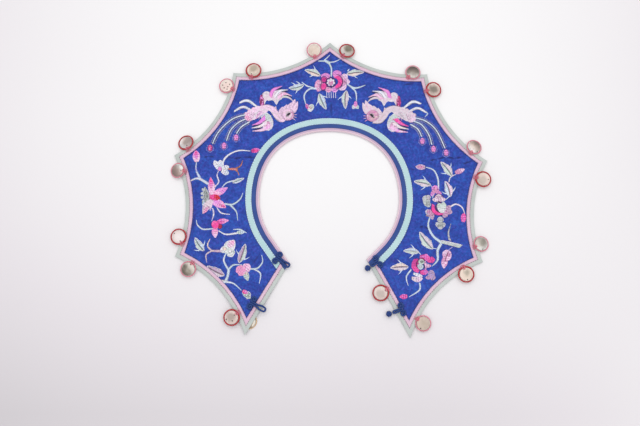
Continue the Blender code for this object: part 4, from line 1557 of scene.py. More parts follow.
def plume(points, drop, heart):
    """A barbed tail feather: a pale spine, dark and dotted edges, and at its end a drop of silk
    with a halo of fine stitches."""
    stroke("frost", "white", points, (1.7, 1.6, 1.3), 2)
    spine = chain(points, SPINE_STEP)
    for i in range(1, len(spine) - 1):
        along = (spine[i + 1] - spine[i - 1]).normalized()
        side = left_of(along)
        for k in (1, -1):
            root = spine[i] + side * (0.75 * k)
            reach = 1.9 + 0.35 * math.sin(i * 1.7)
            tip = root + side * (reach * k) + along * 0.9
            thread("smoke", root, tip, 0, 0.40, BARB_HEIGHT)
            if i % 2:
                start, end = root + side * (0.2 * k), root + side * (0.3 * k) + along * 0.75
                thread("ink", start, end, 1, 0.42, 0.16)
            if i % 3 == 0:
                edge = spine[i] + side * (2.05 * k)
                thread("grey", edge, edge + along * 0.8, 1, 0.5, LINE_HEIGHT)
    x, y = drop
    for k, t in enumerate(np.linspace(-0.85, math.pi + 0.85, 36)):
        near, far = [spot(x + r * math.cos(t), y + 0.2 + 1.08 * r * math.sin(t))
                     for r in (2.9, 4.1 + 0.3 * math.sin(5 * t))]
        thread("smoke" if k % 4 == 0 else "lilac", near, far, 0, 0.40, BARB_HEIGHT)
    petal("wine", "wine", (x, y + 3.2), (x, y - 3.8), 2.7, blunt=0.4, fleck="plum")
    petal(heart, heart, (x, y + 2.9), (x, y - 3.4), 2.5, layer=1, blunt=0.4, fleck="petal")
    oval("pink", (x - 0.4, y + 1.0), 1.2, 1.1, "orchid", 2)


def peony():
    """The peony at the middle back, between two sprays."""
    each(petal, (
        # inner silk, outer silk, base, tip, half width, bluntness, fleck, layer, bend, lobes
        ("petal", "pink", (323.4, 85.2), (314.6, 85.4), 6.6, 1.0, "blush", 0, 0.0, 4),
        ("orchid", "orchid", (325.8, 80.4), (325.4, 72.6), 4.8, 1.0, "pink", 0, 0.0, 3),
        ("pink", "pink", (328.4, 86.6), (328.6, 92.4), 3.7, 1.0, "blush"),
        ("orchid", "orchid", (334.2, 86), (335.8, 92.2), 3.9, 1.0, "blush"),
        ("petal", "blush", (339.8, 83), (344.8, 89.6), 4.6, 1.0, "blush"),
        ("petal", "blush", (342.4, 81.2), (350.1, 81.4), 3.5, 1.0, "blush"),
        ("petal", "blush", (340.8, 79.4), (347.4, 74.4), 3.6, 1.0, "blush"),
        ("orchid", "orchid", (336.8, 78), (337.2, 69.8), 4.7, 1.0, "pink", 0, 0.0, 3),
    ))
    stroke("rose", "magenta", arc((334.4, 81.4), 5.6, 5.2, -75, 78), (3.6, 4.8, 4.8, 3.6), 1)
    oval("magenta", (324.2, 79.7), 3.0, 3.0, "wine", 1, 20)
    oval("rose", (323.7, 86.2), 3.0, 3.6, "magenta", 1, -15)
    for middle, across, down, start, end, width in (
        ((330.8, 82.3), 4.7, 4.7, 0, 360, 1.6), ((324.2, 79.7), 3.5, 3.4, 100, 350, 0.7),
        ((323.7, 86.2), 3.5, 4.1, 60, 310, 0.7), ((335, 81.4), 7.8, 7.6, -80, 80, 0.9),
        ((341, 84), 5.6, 3.6, -75, 10, 0.5),
    ):
        widths = (0.6 * width, width, 0.6 * width)
        stroke("plum", None, arc(middle, across, down, start, end), widths, 2)
    for k in range(7):
        t = 2 * math.pi * (k + 0.25) / 7
        tip = (330.8 + 4.6 * math.cos(t), 82.2 + 4.4 * math.sin(t))
        petal("white", "frost" if math.sin(t) > 0.4 else "white", (330.8, 82.2), tip, 1.9, 1.0,
              "blush", 2)
    for base, tip, half in (((331, 85.6), (329.2, 80.8), 1.5), ((331, 85.6), (332.6, 80.6), 1.5)):
        petal("petal", "pink", base, tip, half, 1.0, "petal", 3)
    line("plum", [(327.6, 86.4), (331, 87.4), (334.4, 86)], 0.5, 4)
    for k in range(5):
        x = 326.7 + 2.2 * k
        line("white", [(x, 91.4), (x + 0.2, 97.8)], 0.72)
    each(stroke, (
        ("frost", "mint", [(331.2, 76.2), (331.2, 67.6), (326.8, 61.4), (318.4, 60.8)],
         (1.7, 2.0, 2.2, 1.4)),
        ("frost", "white", [(329, 61.9), (334.6, 61.4), (340.2, 58.8)], (1.6, 1.5, 0.8)),
        ("frost", "white", [(324.2, 59.9), (327, 57.6), (329.8, 54.8)], (1.6, 1.3, 0.7)),
        ("frost", "white", [(316.6, 88.2), (309.4, 88.8), (304.2, 95), (305.6, 103.6)],
         (2.6, 2.0, 1.8, 1.0)),
        ("frost", "white", [(313, 87.3), (307, 85.6), (302, 82)], (1.6, 1.8, 1.0)),
        ("frost", "mint", [(346.8, 83.6), (355, 87.8), (365.2, 85)], (2.0, 2.5, 0.7)),
        ("frost", "white", [(351.4, 87), (355.8, 92), (356.5, 101.6)], (2.2, 1.8, 1.0)),
    ))
    petal("frost", "mint", (324.6, 60), (330.6, 63.6), 1.6)
    each(leaf, (
        (("mint", "frost", "sage"), (303.8, 84.6), (288.8, 87.8), 3.7, 0.08,
         [(0.25, -1, 4), (0.55, -1, 4), (0.5, 1, 3.4)]),
        (("peach", "mint", "tan"), (320.6, 75.4), (304.8, 69.8), 3.9, -0.04,
         [(0.42, -1, 4.4), (0.45, 1, 3.4)]),
        (("mint", "peach", "tan"), (346.6, 74), (364, 71.8), 3.9, 0.03,
         [(0.42, -1, 3.6), (0.1, 1, 2.6)]),
        (("frost", "mint", "sage"), (319.2, 93.2), (326.2, 109), 4.0, -0.04,
         [(0.4, -1, 5), (0.25, 1, 4)]),
        (("shell", "mint", "tan"), (346.4, 90.2), (345.6, 108.4), 3.9, -0.05,
         [(0.35, -1, 4.6), (0.3, 1, 3.6)]),
    ))
    each(petal, (
        ("magenta", "petal", (308.6, 108.8), (306, 103.2), 2.0, 0.5, "orchid"),
        ("white", "mint", (309, 111.2), (312.8, 103.8), 3.1, 0.9, "white", 0, 0.0, 2),
        ("white", "white", (355.8, 104.4), (352.4, 108.6), 2.3, 1.0, "frost"),
        ("white", "mint", (355.4, 104.4), (358.6, 108.6), 2.2, 1.0, "frost"),
        ("orchid", "pink", (355.8, 101), (355.4, 107.2), 1.9, 0.9, "orchid", 1),
    ))
    oval("peach", (310.6, 107.4), 1.3, 1.5, "tan", 1)


def phoenix(see, turn, flank, head, flare):
    """A phoenix in flight; see() places the drawing, made for the left one, and turn is -1 where it
    mirrors it. flank, head and flare are the silks of body, head and boldest feathers."""
    warm = flank == "blush"

    def form(inner, outer, base, tip, half, bend=0.0, **more):
        petal(inner, outer, *see([base, tip]), half, bend=bend * turn, **more)

    def feather(colour, fleck, points, widths, layer=0):
        stroke(colour, fleck, see(points), widths, layer)

    def mark(colour, points, width, layer):
        line(colour, see(points), width, layer)

    def dot(colour, place, *more, **named):
        oval(colour, *see([place]), *more, **named)

    # the upper wing's two curls and their rims
    form("shell", "shell", (263.4, 98), (282, 95.6), 3.6, 0.03, blunt=0.9, fleck="blush")
    form("shell", "blush", (267, 99), (285, 91.4), 4.4, 0.04, blunt=0.7, fleck="white")
    feather("shell", "blush", [(264.2, 104.2), (265, 99.2), (270, 96.4), (274.8, 99.2),
                               (276.4, 104.4)], (0.8, 3.6, 5.0, 3.6, 0.8))
    feather("shell", "mint", [(276.6, 104.2), (278, 99), (283, 96.2), (288.6, 97.2),
                              (293, 100.8)], (0.8, 3.6, 3.8, 2.6, 0.5))
    mark("white", [(264.2, 104), (266, 100.4), (270, 99), (274, 100.6), (276.4, 104.4),
                   (278.4, 100.4), (282, 98.4)], 0.7, 1)
    dot("shell", (266.6, 95.2), 5.0, 4.6, "white")
    mark("white", arc((266.6, 97), 3.4, 4.4, 170, 320), 0.8, 1)
    for silk, fleck, points, widths in (
        # the upper wing's long feathers, from its front to its back
        ("orchid", "pink", [(270.4, 96.4), (273.2, 90), (281.8, 86)], (4.0, 3.7, 0.5)),
        ("white", "frost", [(274.8, 96.6), (279.4, 91), (288, 89.6)], (3.6, 3.0, 0.4)),
        ("blush", "pink", [(278, 97.8), (284, 93.6), (291.8, 95.8)], (3.8, 3.2, 0.4)),
        # the tail's two short feathers, and the lower wing's three
        ("white", "frost", [(257, 106.8), (247.6, 100.4), (239.6, 102.4)], (2.0, 3.3, 2.2)),
        ("white", "frost", [(252, 110.6), (243, 106.8), (234.2, 111)], (2.2, 3.1, 2.0)),
        (flare, "orchid", [(265, 117.4), (259, 122.4), (252, 124.9)], (5.0, 3.6, 0.6)),
        ("white", "peach", [(267, 121.6), (260.4, 125.8), (251.8, 127.8)], (4.4, 3.0, 0.5)),
        ("blush", "orchid", [(270, 125.8), (262, 129.6), (252.6, 130.8)], (5.0, 3.4, 0.6)),
    ):
        feather(silk, fleck, points, widths, 1)
    for points in (     # dark lines in the feathers of both wings: painted shade in their slits
        [(276.6, 90.2), (278.6, 88.8), (282, 87.8)], [(281.4, 91.9), (284, 91.2), (288.4, 91.2)],
        [(284, 95.4), (287, 95.2), (292, 97.6)], [(260.4, 124.2), (257, 125.3), (252.4, 126.4)],
        [(262, 127.2), (258.6, 128.6), (253.4, 129.3)],
    ):
        feather("night", None, points, (0.4, 1.1, 0.5), 2)
    mark("grey", [(253.4, 104.2), (248.4, 101.8), (243.4, 101.8)], 0.4, 2)
    mark("dusk", [(249.4, 109), (244, 107.6), (238.4, 108.6)], 0.4, 2)
    # the spotted plume before the wing, the breast with its dots, and the flank with its scales
    form("wine", "wine", (262, 94.4), (262.4, 108.4), 2.7, -0.02, blunt=0.2, fleck=flare)
    for x, y in ((262.4, 98.6), (262.6, 101.4), (261.8, 104.4)):
        dot("pink", (x, y), 0.7, 0.6, layer=1)
    form("mint", "shell", (261.8, 111.4), (268.8, 130.6), 5.4, 0.10, blunt=0.9, fleck="frost",
         edge="white")
    form(head, "blush", (266.6, 121), (266.6, 130.4), 4.0, blunt=0.9, layer=1, fleck="blush")
    for k in range(14):
        x, y = 264.2 + 2.2 * (k % 4) + 0.9 * (k // 4), 113.8 + 2.4 * (k // 4) + 0.5 * (k % 4)
        dot("grey", (x, y), 0.5, 0.35, layer=2)
    form(flank, flank, (267.6, 107.8), (245, 118.4), 6.0, -0.03, layer=1, blunt=0.9, fleck="shell")
    for x, y in ((246.2, 113.8), (249.6, 111), (253.4, 109), (257.6, 107.6), (262, 107.2)):
        dot(flank, (x, y), 2.3, 2.2, "pink" if warm else "dusk", 1)
    form("blush" if warm else "shell", "pink" if warm else "blush", (254.6, 114.4), (244.6, 118.6),
         4.6, layer=2, blunt=1.0, fleck="blush")
    for k in range(12):
        x, y = 252.6 + 3.7 * (k % 4) - 1.2 * (k // 4), 113.8 - 1.7 * (k % 4) + 3.1 * (k // 4)
        mark("white" if k % 2 else "dusk", arc((x, y), 1.7, 1.5, 20, 170, 5), 0.5, 3)
    for silk, across in (("white", 10.4), ("orchid" if warm else "grey", 7.8),
                         ("lilac" if warm else "dusk", 5.4)):
        mark(silk, arc((264, 120.6), across, 1.15 * across, 190, 258), 0.7, 3)
    # the neck, the crest's fan with its slits, and the head with its eye, beak and whiskers
    feather(flank, "shell", [(259.6, 108), (266.6, 107), (272.6, 109.4), (276.4, 114.4),
                             (280.6, 118.4), (286, 119)], (4.6, 5.8, 6.6, 6.9, 7.4, 6.4), 1)
    mark("white", [(264, 109.4), (270.6, 111.2), (274, 116.2), (278.4, 120.4)], 0.5, 3)
    mark("peach", [(276.8, 112.4), (278.8, 116.4), (282, 119.4)], 0.6, 3)
    crest = "blush" if warm else "shell"
    for base, tip, half, bend in (
        ((274.4, 111.6), (275.8, 106), 1.6, 0.0), ((281.6, 117.6), (282.4, 106.4), 3.6, 0.04),
        ((283.8, 116), (287, 104.2), 3.8, 0.03), ((286.4, 115), (291.4, 102.4), 3.8, 0.02),
        ((288.8, 114), (295, 98.8), 3.4, -0.02), ((291, 114), (297.6, 101), 2.8, -0.05),
    ):
        form(crest, crest, base, tip, half, bend, blunt=0.05, layer=1,
             fleck="dusk" if warm else "blush")
    for slit in ([(285.4, 110.6), (286.4, 107)], [(288.8, 108.8), (290.4, 105)],
                 [(292.4, 107.6), (294.6, 103)]):
        mark("dusk" if warm else "pink", slit, 0.4, 2)
    dot(crest if warm else head, (287.8, 114.6), 6.6, 6.2, "peach", 2, 20)
    feather(head, "blush", arc((288.2, 115), 4.9, 4.6, -70, 120), (0.8, 1.7, 1.9, 1.7, 0.8), 3)
    for k in range(20):
        t = 2 * math.pi * k / 20
        near, far = see([(288.4 + r * math.cos(t), 114.6 + r * math.sin(t)) for r in (1.6, 3.6)])
        silk = "peach" if k % 2 else "white" if warm else head
        thread(silk, spot(*near), spot(*far), 3, 0.5, LEAF_HEIGHT)
    mark("dusk", [(283, 112.4), (282.8, 116), (285, 119.2)], 0.4, 4)
    form("ink", "ink", (286.4, 116.4), (290.8, 112.6), 1.2, 0.05, layer=4, blunt=0.4)
    mark("grey", arc((288.6, 114.4), 2.2, 2.2, 100, 320, 6), 0.4, 5)
    for degrees in range(-40, 50, 18):
        t = math.radians(degrees)
        hair = [(287.6 + r * math.cos(t), 115 + r * math.sin(t)) for r in (6.0, 7.6, 9.4)]
        feather("dusk" if warm else "petal", "blush", hair, (1.3, 0.8, 0.3), 1)


def phoenixes():
    """The phoenix at each side of the peony, each with three plumes."""
    plume([(246, 114.5), (235.4, 117.4), (226, 123.7), (217.4, 133.4), (212.6, 143.4)],
          (210, 147.8), "magenta")
    plume([(246.6, 118.4), (238, 122.6), (230.6, 130), (226.5, 140.4)], (223.9, 145.6), "orchid")
    plume([(249.6, 121.6), (241.4, 126.6), (236.6, 133.2)], (236, 137.5), "orchid")
    phoenix(lambda points: points, 1, "blush", "petal", "orchid")
    plume([(413, 117.4), (425.4, 120.8), (436.2, 130), (445, 148)], (446.2, 152.6), "orchid")
    plume([(413, 120.8), (421.6, 124.6), (428.8, 134.6), (431.8, 144.4)], (433.6, 148.8), "orchid")
    plume([(410.6, 124.2), (418, 129.2), (421.6, 136.4)], (422.4, 140.8), "orchid")
    phoenix(lambda points: [(660.4 - x, y + 1.2) for x, y in points], -1, "shell", "petal", "rose")
    stroke("frost", None, [(426, 111.6), (427.6, 113.6), (425, 116.6)], (1.6, 1.5, 0.6))


def left_arm():
    """The flowering branch down the arm at the photograph's left."""
    each(stroke, (
        ("frost", "lilac", [(196.4, 162), (196, 169.4), (199.6, 177.4)], (1.1, 1.9, 2.8)),
        ("frost", "shell", [(190.2, 180.6), (198, 178.2), (208.4, 183.8)], (1.6, 2.8, 3.2)),
        ("white", "lilac", [(214.6, 186.6), (218.6, 181.6), (217, 175), (218.6, 170.4)],
         (1.8, 1.9, 1.7, 0.9)),
        ("orange", "petal", [(228, 168.6), (234.4, 169), (237, 170)], (1.8, 2.9, 2.4)),
        ("orange", "tan", [(235.4, 168.6), (240.6, 165.4), (242.5, 160.4)], (2.0, 1.7, 0.8)),
        ("orange", "tan", [(235.8, 170), (237.8, 171.9), (238.8, 175)], (1.7, 1.6, 0.8)),
        ("white", "frost",
         [(222.2, 163.8), (225.2, 157.6), (232, 152.6), (240, 150.2), (250, 150.8)],
         (2.4, 2.3, 1.8, 1.7, 0.9)),
        ("frost", "white", [(222, 187.2), (227, 182.4), (238, 179.6)], (0.9, 1.9, 1.4)),
        ("frost", "mint", [(224.4, 203.5), (232.6, 204.2), (240, 198.9), (242.8, 192.8)],
         (2.2, 2.2, 1.8, 0.6)),
        ("frost", "mint", [(230.6, 205.2), (236.2, 211.6), (237.6, 220)], (2.4, 1.6, 0.7)),
        ("white", "lilac", [(216.6, 206.8), (221, 212.7), (229.8, 214.2)], (1.3, 1.8, 0.6)),
        ("white", "lilac", [(212.6, 208.2), (213.6, 213.6), (211.7, 220.6)], (1.9, 1.9, 0.9)),
        ("frost", "white", [(212.2, 228.5), (203, 229), (197.4, 224.8), (196.3, 220)],
         (1.7, 1.9, 1.7, 0.7)),
        ("white", "frost", [(218.6, 230.6), (226, 234.2), (237.4, 232.8)], (1.2, 2.0, 2.4)),
        ("frost", "mint", [(233.2, 229.3), (240, 229.4), (246.6, 232.8)], (0.7, 2.2, 0.5)),
        ("dusk", "peach", [(221.4, 251), (211, 250.6)], (2.9, 2.2)),
        ("peach", "lilac", [(211.4, 250.4), (207.4, 245.4), (210, 238.6)], (1.9, 1.7, 0.8)),
        ("peach", "lilac", [(211.4, 250.9), (206, 254.6), (206.7, 262.4)], (1.8, 1.6, 0.7)),
        ("frost", "white", [(225.9, 253.2), (223.7, 260.6), (228.8, 270.4)], (1.7, 2.1, 2.4)),
        ("frost", "mint", [(228.4, 269.6), (233.2, 264.9), (241.8, 264.7)], (2.4, 2.0, 0.7)),
        ("frost", "grey", [(228.5, 270), (227.6, 276), (225.4, 281.4)], (2.9, 2.8, 3.4)),
        ("grey", "peach", [(219.4, 280.4), (226.8, 281.6)], (2.6, 2.8)),
        ("frost", "mint", [(250, 268.8), (257.4, 268), (262.4, 262), (261.7, 255)],
         (1.8, 2.0, 1.6, 0.6)),
        ("frost", "white", [(254.4, 269.2), (260.4, 273.6), (259.2, 283.6)], (2.0, 1.8, 0.6)),
        ("frost", "white", [(223.4, 281.8), (233, 283.2), (241.2, 290.2)], (2.6, 1.8, 0.9)),
        ("petal", "rose", [(210, 192.8), (210, 197.6), (210.6, 202)], (2.2, 2.6, 1.6)),
    ))
    each(petal, (
        # inner silk, outer silk, base, tip, half width, bluntness, fleck, layer, bend, lobes
        ("blush", "pink", (211.6, 194.8), (210.4, 176.8), 3.7, 0.0, "petal", 0, -0.02),
        ("orchid", "rose", (211.2, 187.6), (210.4, 177.6), 2.2, 0.1, "pink", 1),
        ("pink", "orchid", (212.8, 194.4), (227.8, 187.2), 3.8, 0.0, "blush", 0, -0.03),
        ("orchid", "orchid", (220.8, 192), (226.8, 187.9), 1.6, 0.1, "petal", 1),
        ("rose", "red", (209.6, 197), (220.4, 198), 3.2, 0.4, "red", 2, 0.03),
        ("orchid", "pink", (211.8, 201.2), (226.2, 207.6), 4.2, 0.1, "blush", 0, 0.05),
        ("petal", "rose", (219.4, 204.4), (225.8, 207.2), 1.4, 0.1, "petal", 1),
        ("shell", "dusk", (212.2, 199.8), (202.4, 214), 4.2, 0.0, "shell", 0, -0.06),
        ("petal", "pink", (208.4, 206.6), (203, 213.4), 2.0, 0.1, "blush", 1),
        ("grey", "grey", (207, 201.6), (204.6, 186.4), 3.4, 0.1, "sage"),
        ("grey", "frost", (205, 197.6), (202.2, 205.4), 1.8, 0.1, "sage"),
        ("white", "white", (220, 170.2), (214.2, 160), 2.7, 1.0, "frost", 0, 0.03),
        ("white", "white", (221, 170), (220, 159.6), 3.2, 1.0, "frost", 0, -0.03),
        ("white", "white", (221, 169), (229.2, 166.4), 2.7, 0.9, "mint"),
        ("white", "frost", (221.4, 170.4), (228.8, 173.8), 2.9, 0.9, "white"),
        ("magenta", "orchid", (251.2, 150.9), (260.2, 149.3), 2.9, 0.1, "magenta"),
        ("rose", "pink", (216.6, 222.4), (229, 220.2), 3.0, 0.0, "orchid", 0, 0.03),
        ("pink", "blush", (214.8, 227), (215.3, 238), 3.4, 0.0, "orchid", 0, -0.02),
        ("mint", "frost", (236.6, 232.4), (245, 232), 2.0, 0.4, "mint"),
        ("mint", "white", (230.4, 249.4), (219.8, 250.2), 3.6, 0.9, "mint", 0, -0.05),
        ("mint", "white", (227.6, 248.4), (232.4, 256.8), 4.4, 1.0, "mint", 0, 0.06),
        ("white", "white", (224.8, 252), (234.6, 239.8), 5.8, 0.2, "mint"),
        ("blush", "pink", (228.2, 246.8), (234.2, 240.4), 3.4, 0.2, "blush", 1),
        ("pink", "pink", (244.6, 268.6), (238.8, 275.6), 3.6, 1.0, "petal"),
        ("pink", "pink", (245, 273), (236.4, 267), 4.6, 1.0, "petal"),
        ("petal", "blush", (242, 273.4), (249.2, 263.8), 4.6, 1.0, "pink"),
        ("mint", "mint", (244.8, 271), (247.9, 280.8), 3.1, 0.1, "grey"),
        ("mint", "mint", (243, 291), (250.8, 299), 3.1, 0.1, "sage"),
        ("rose", "orchid", (242.4, 290.8), (248, 293.6), 2.2, 0.3, "pink", 1),
    ))
    petal("blush", "orchid", (196.6, 161.8), (195.8, 150), 3.9, blunt=0.3, fleck="pink")
    petal("orchid", "rose", (196.4, 158.6), (195.8, 150.6), 1.9, layer=1, blunt=0.1)
    each(oval, (
        # silk, middle, half across, half down, fleck, layer, lean
        ("orchid", (219.8, 168.7), 2.3, 2.2, "dusk", 1),
        ("rose", (255.8, 150.4), 2.3, 1.7, None, 1),
        ("rose", (215.2, 224.5), 3.9, 4.2, "pink", 1, 30),
        ("wine", (219.8, 226.2), 2.4, 2.6, "red", 1),
        ("white", (230, 251), 1.8, 1.6, "mint", 1),
        ("grey", (202.8, 189.4), 1.5, 1.5, "frost", 0, 20),
        ("grey", (201.9, 193.2), 1.6, 1.6, "frost", 0, -10),
        ("grey", (202, 197.2), 1.6, 1.6, "sage", 0, 20),
        ("grey", (203.2, 201), 1.5, 1.5, "frost", 0, -20),
        ("peach", (224.6, 248.6), 1.9, 1.7, "grey", 1),
        ("peach", (246.4, 273.6), 1.4, 1.3, None, 1),
    ))
    each(leaf, (
        (("mint", "frost", "sage"), (232.4, 182.6), (244, 178), 2.4),
        (("mint", "frost", "sage"), (204, 250.8), (195, 237.6), 4.0, 0.05,
         [(0.3, -1, 4.2), (0.2, 1, 4.4)]),
        (("shell", "dusk", "tan"), (224.4, 275.4), (207, 266), 4.6, 0.04),
        (("dusk", "mint", "tan"), (238.8, 263), (245.2, 243.8), 4.1, -0.03,
         [(0.42, 1, 4.6), (0.25, -1, 5.0)]),
    ))
    for silk, width, points in (
        ("blush", 0.8, [(210.4, 200.6), (212.2, 204), (209.8, 210.4)]),
        ("sage", 0.5, [(205.6, 188), (204.6, 194.6), (205.4, 202.4)]),
        ("grey", 0.6, [(214.4, 161.6), (217, 164), (219.4, 166.6)]),
        ("grey", 0.8, [(222.6, 168.8), (225.4, 169.3), (228, 168.8)]),
        ("magenta", 0.6, [(219.6, 221.8), (222.4, 221), (224.6, 221.6)]),
        ("white", 0.6, arc((246.4, 295), 4.4, 4.0, 290, 450)),
    ):
        line(silk, points, width, 1)
    stroke("sage", "grey", [(206.4, 191.6), (207, 196), (205.6, 199.6)], (1.0, 1.8, 1.2), 1)


def right_arm():
    """The flowering branch down the arm at the photograph's right."""
    each(stroke, (
        ("frost", "white", [(426.2, 167), (433.8, 170), (438, 178.4), (438.6, 188.6)],
         (1.1, 1.9, 2.1, 1.8)),
        ("shell", "frost", [(449, 181.6), (450.6, 177), (455.8, 174.2)], (1.4, 1.7, 0.9)),
        ("frost", "white", [(450, 195.8), (446.2, 199.2)], (1.3, 0.8)),
        ("frost", "white", [(433.6, 194.6), (432.4, 197.4)], (1.6, 0.8)),
        ("frost", "white", [(430.2, 183.6), (431.8, 187)], (0.8, 0.8)),
        ("sage", "ink", [(434.2, 200.8), (439.2, 202.4)], (1.4, 1.6)),
        ("white", "blush", [(450.4, 206.6), (456, 204), (462, 207), (464.8, 213.4)],
         (2.0, 1.9, 1.6, 0.7)),
        ("frost", "mint", [(430, 217), (428.4, 226), (433.4, 236), (441.4, 242.2)],
         (1.7, 2.3, 2.7, 3.2)),
        ("grey", "mint", [(440, 241.4), (450, 243.6), (461, 246.3)], (3.2, 3.8, 4.2)),
        ("grey", "smoke", [(451, 223.8), (448.5, 233.4), (451, 243.4)], (0.8, 2.0, 3.2)),
        ("frost", "grey", [(441.4, 243.2), (437.7, 250.4), (437.6, 260), (432.2, 266)],
         (3.2, 3.0, 2.5, 0.8)),
        ("frost", "white", [(411.2, 269.6), (406.4, 276.8), (408.2, 285.4)], (2.0, 1.7, 0.7)),
        ("frost", "white", [(419.8, 282.8), (419.4, 290), (409.2, 296.7)], (2.1, 1.8, 0.7)),
        ("frost", "white", [(432.6, 248.2), (436.6, 248.5)], (0.9, 0.8)),
        ("frost", "white", [(418.8, 252), (420.8, 254.4)], (0.8, 0.7)),
    ))
    each(leaf, (
        (("mint", "shell", "sage"), (452, 176), (440.8, 161.8), 4.3, -0.05,
         [(0.45, -1, 4.0), (0.3, 1, 4.8)]),
        (("shell", "mint", "sage"), (430.8, 185), (414, 181.4), 4.1, -0.04,
         [(0.35, -1, 4.4), (0.3, 1, 4.6)]),
        (("frost", "blush", "tan"), (450.4, 196.8), (445.2, 181), 4.4, -0.06,
         [(0.25, 1, 4.4), (0.3, -1, 4.2)]),
        (("mint", "shell", "sage"), (433, 249), (419.6, 231.8), 4.9, 0.05),
        (("mint", "frost", "grey"), (419.2, 252.2), (403.6, 250.8), 3.4, -0.05,
         [(0.35, -1, 4.2), (0.35, 1, 5.0)]),
        (("shell", "peach", "tan"), (408.6, 266.8), (390.6, 267.8), 4.2, -0.03,
         [(0.4, -1, 4.4), (0.4, 1, 4.4)]),
    ))
    each(petal, (
        # inner silk, outer silk, base, tip, half width, bluntness, fleck, layer, bend, lobes
        ("petal", "blush", (455.2, 172.8), (465, 168.8), 2.8, 0.1, "petal"),
        ("petal", "orchid", (435.6, 193), (435.4, 185), 4.0, 1.0, "petal"),
        ("petal", "orchid", (434.6, 190.4), (442, 193.8), 2.1, 0.3, "petal"),
        ("petal", "orchid", (434.8, 190.2), (431, 196), 2.2, 0.4, "petal"),
        ("plum", "plum", (438.8, 202.4), (438.8, 192.8), 4.6, 0.9, "night"),
        ("dusk", "shell", (438.8, 201), (438.8, 193.8), 3.7, 1.0, "blush", 1),
        ("shell", "shell", (438.6, 199.8), (446, 199), 2.3, 0.9, "blush", 1),
        ("shell", "shell", (438.8, 199.8), (432.2, 199.4), 2.3, 0.9, "blush", 1),
        ("grey", "grey", (427.2, 206), (426, 194.8), 3.8, 1.0, "mint", 0, 0.0, 3),
        ("sage", "grey", (427, 201.4), (429.2, 207.4), 2.4, 1.0, "mint"),
        ("night", "plum", (441.4, 215.6), (441, 202), 6.0, 1.0, "plum"),
        ("white", "mint", (442.6, 213), (438.6, 203), 3.1, 1.0, "mint", 1),
        ("white", "mint", (442.6, 213), (443.8, 201.6), 3.1, 1.0, "mint", 1),
        ("dusk", "dusk", (446.8, 211), (450, 205), 2.8, 1.0, "petal", 1),
        ("dusk", "dusk", (446.6, 210.6), (452.4, 212.8), 2.8, 1.0, "petal", 1),
        ("petal", "dusk", (446.8, 211), (443.6, 217.6), 3.0, 1.0, "dusk", 1),
        ("petal", "dusk", (433.6, 212), (425, 210.8), 2.4, 0.4, "petal"),
        ("petal", "dusk", (433.6, 213.4), (425.8, 215.6), 2.2, 0.3, "tan"),
        ("dusk", "dusk", (431.2, 210.4), (432.6, 219.8), 2.7, 0.3, "petal"),
        ("magenta", "rose", (419.6, 257), (430.6, 258.8), 3.2, 0.9, "orchid", 0, 0.04),
        ("rose", "rose", (427, 260.2), (435.2, 259.4), 3.2, 1.0, "magenta"),
        ("rose", "orchid", (425.4, 259.6), (426.8, 253.6), 3.2, 1.0, "magenta"),
        ("magenta", "rose", (416, 258.4), (418, 272.8), 3.8, 0.8, "magenta", 0, -0.12),
        ("blush", "petal", (424.6, 265.6), (431.6, 265.6), 2.3, 0.1, "blush"),
        ("petal", "petal", (425.6, 266.4), (425.3, 260.8), 1.4, 0.1, "blush"),
        ("petal", "petal", (425.4, 265.2), (425.8, 270), 1.4, 0.1, "blush"),
        ("rose", "orchid", (420.2, 272.6), (428.2, 271.6), 2.7, 0.9, "rose"),
        ("dusk", "dusk", (430.2, 277.2), (432.6, 270), 3.4, 1.0, "lilac"),
        ("lilac", "dusk", (429.4, 275.6), (435.6, 278.4), 3.2, 1.0, "dusk"),
        ("dusk", "dusk", (432, 276.6), (425.4, 277.8), 2.2, 0.7, "petal"),
        ("white", "white", (413.2, 273.4), (423, 276.4), 1.8, 0.3, "frost"),
        ("shell", "blush", (411.6, 277.8), (423, 278.2), 2.8, 0.6, "shell", 0, -0.12),
        ("blush", "blush", (447.4, 260.4), (446.8, 249.4), 4.6, 1.0, "petal"),
        ("petal", "blush", (445.4, 256.4), (443.8, 268.6), 3.4, 0.1, "petal"),
    ))
    bud("dusk", "petal", (425.4, 167.2), (415.4, 166.4), 3.1)
    petal("rose", "rose", (463.4, 222), (463.9, 212.8), 2.8, blunt=0.5, fleck="orchid")
    petal("rose", "rose", (407.6, 296.2), (399.4, 296.8), 2.7, blunt=0.1, fleck="orchid")
    each(oval, (
        # silk, middle, half across, half down, fleck, layer, lean
        ("petal", (435.8, 189), 2.0, 2.4, "pink", 1),
        ("dusk", (438.4, 197), 1.9, 2.6, "tan", 1),
        ("grey", (425.2, 198.4), 2.3, 2.5, "mint", 1),
        ("grey", (428.2, 197.4), 2.1, 2.3, "dusk", 1, 20),
        ("grey", (428.4, 204.4), 2.2, 2.5, "sage", 1),
        ("grey", (440.4, 220.4), 2.9, 3.5, "sage"),
        ("grey", (438.2, 224.2), 2.3, 2.5, "mint", 0, 30),
        ("grey", (442.8, 224.4), 2.4, 2.5, "sage", 0, -30),
        ("grey", (440.4, 226.2), 2.7, 2.7, "sage", 1),
        ("mint", (421.4, 261.8), 3.2, 2.9, "grey", 1),
        ("sage", (421.8, 261.6), 1.7, 1.5, "grey", 2),
        ("frost", (420.4, 266.6), 3.3, 2.9, "grey", 1),
        ("grey", (420.4, 266.6), 1.9, 1.7, "mint", 2),
        ("petal", (448.8, 255), 1.3, 1.8, "dusk", 1),
    ))
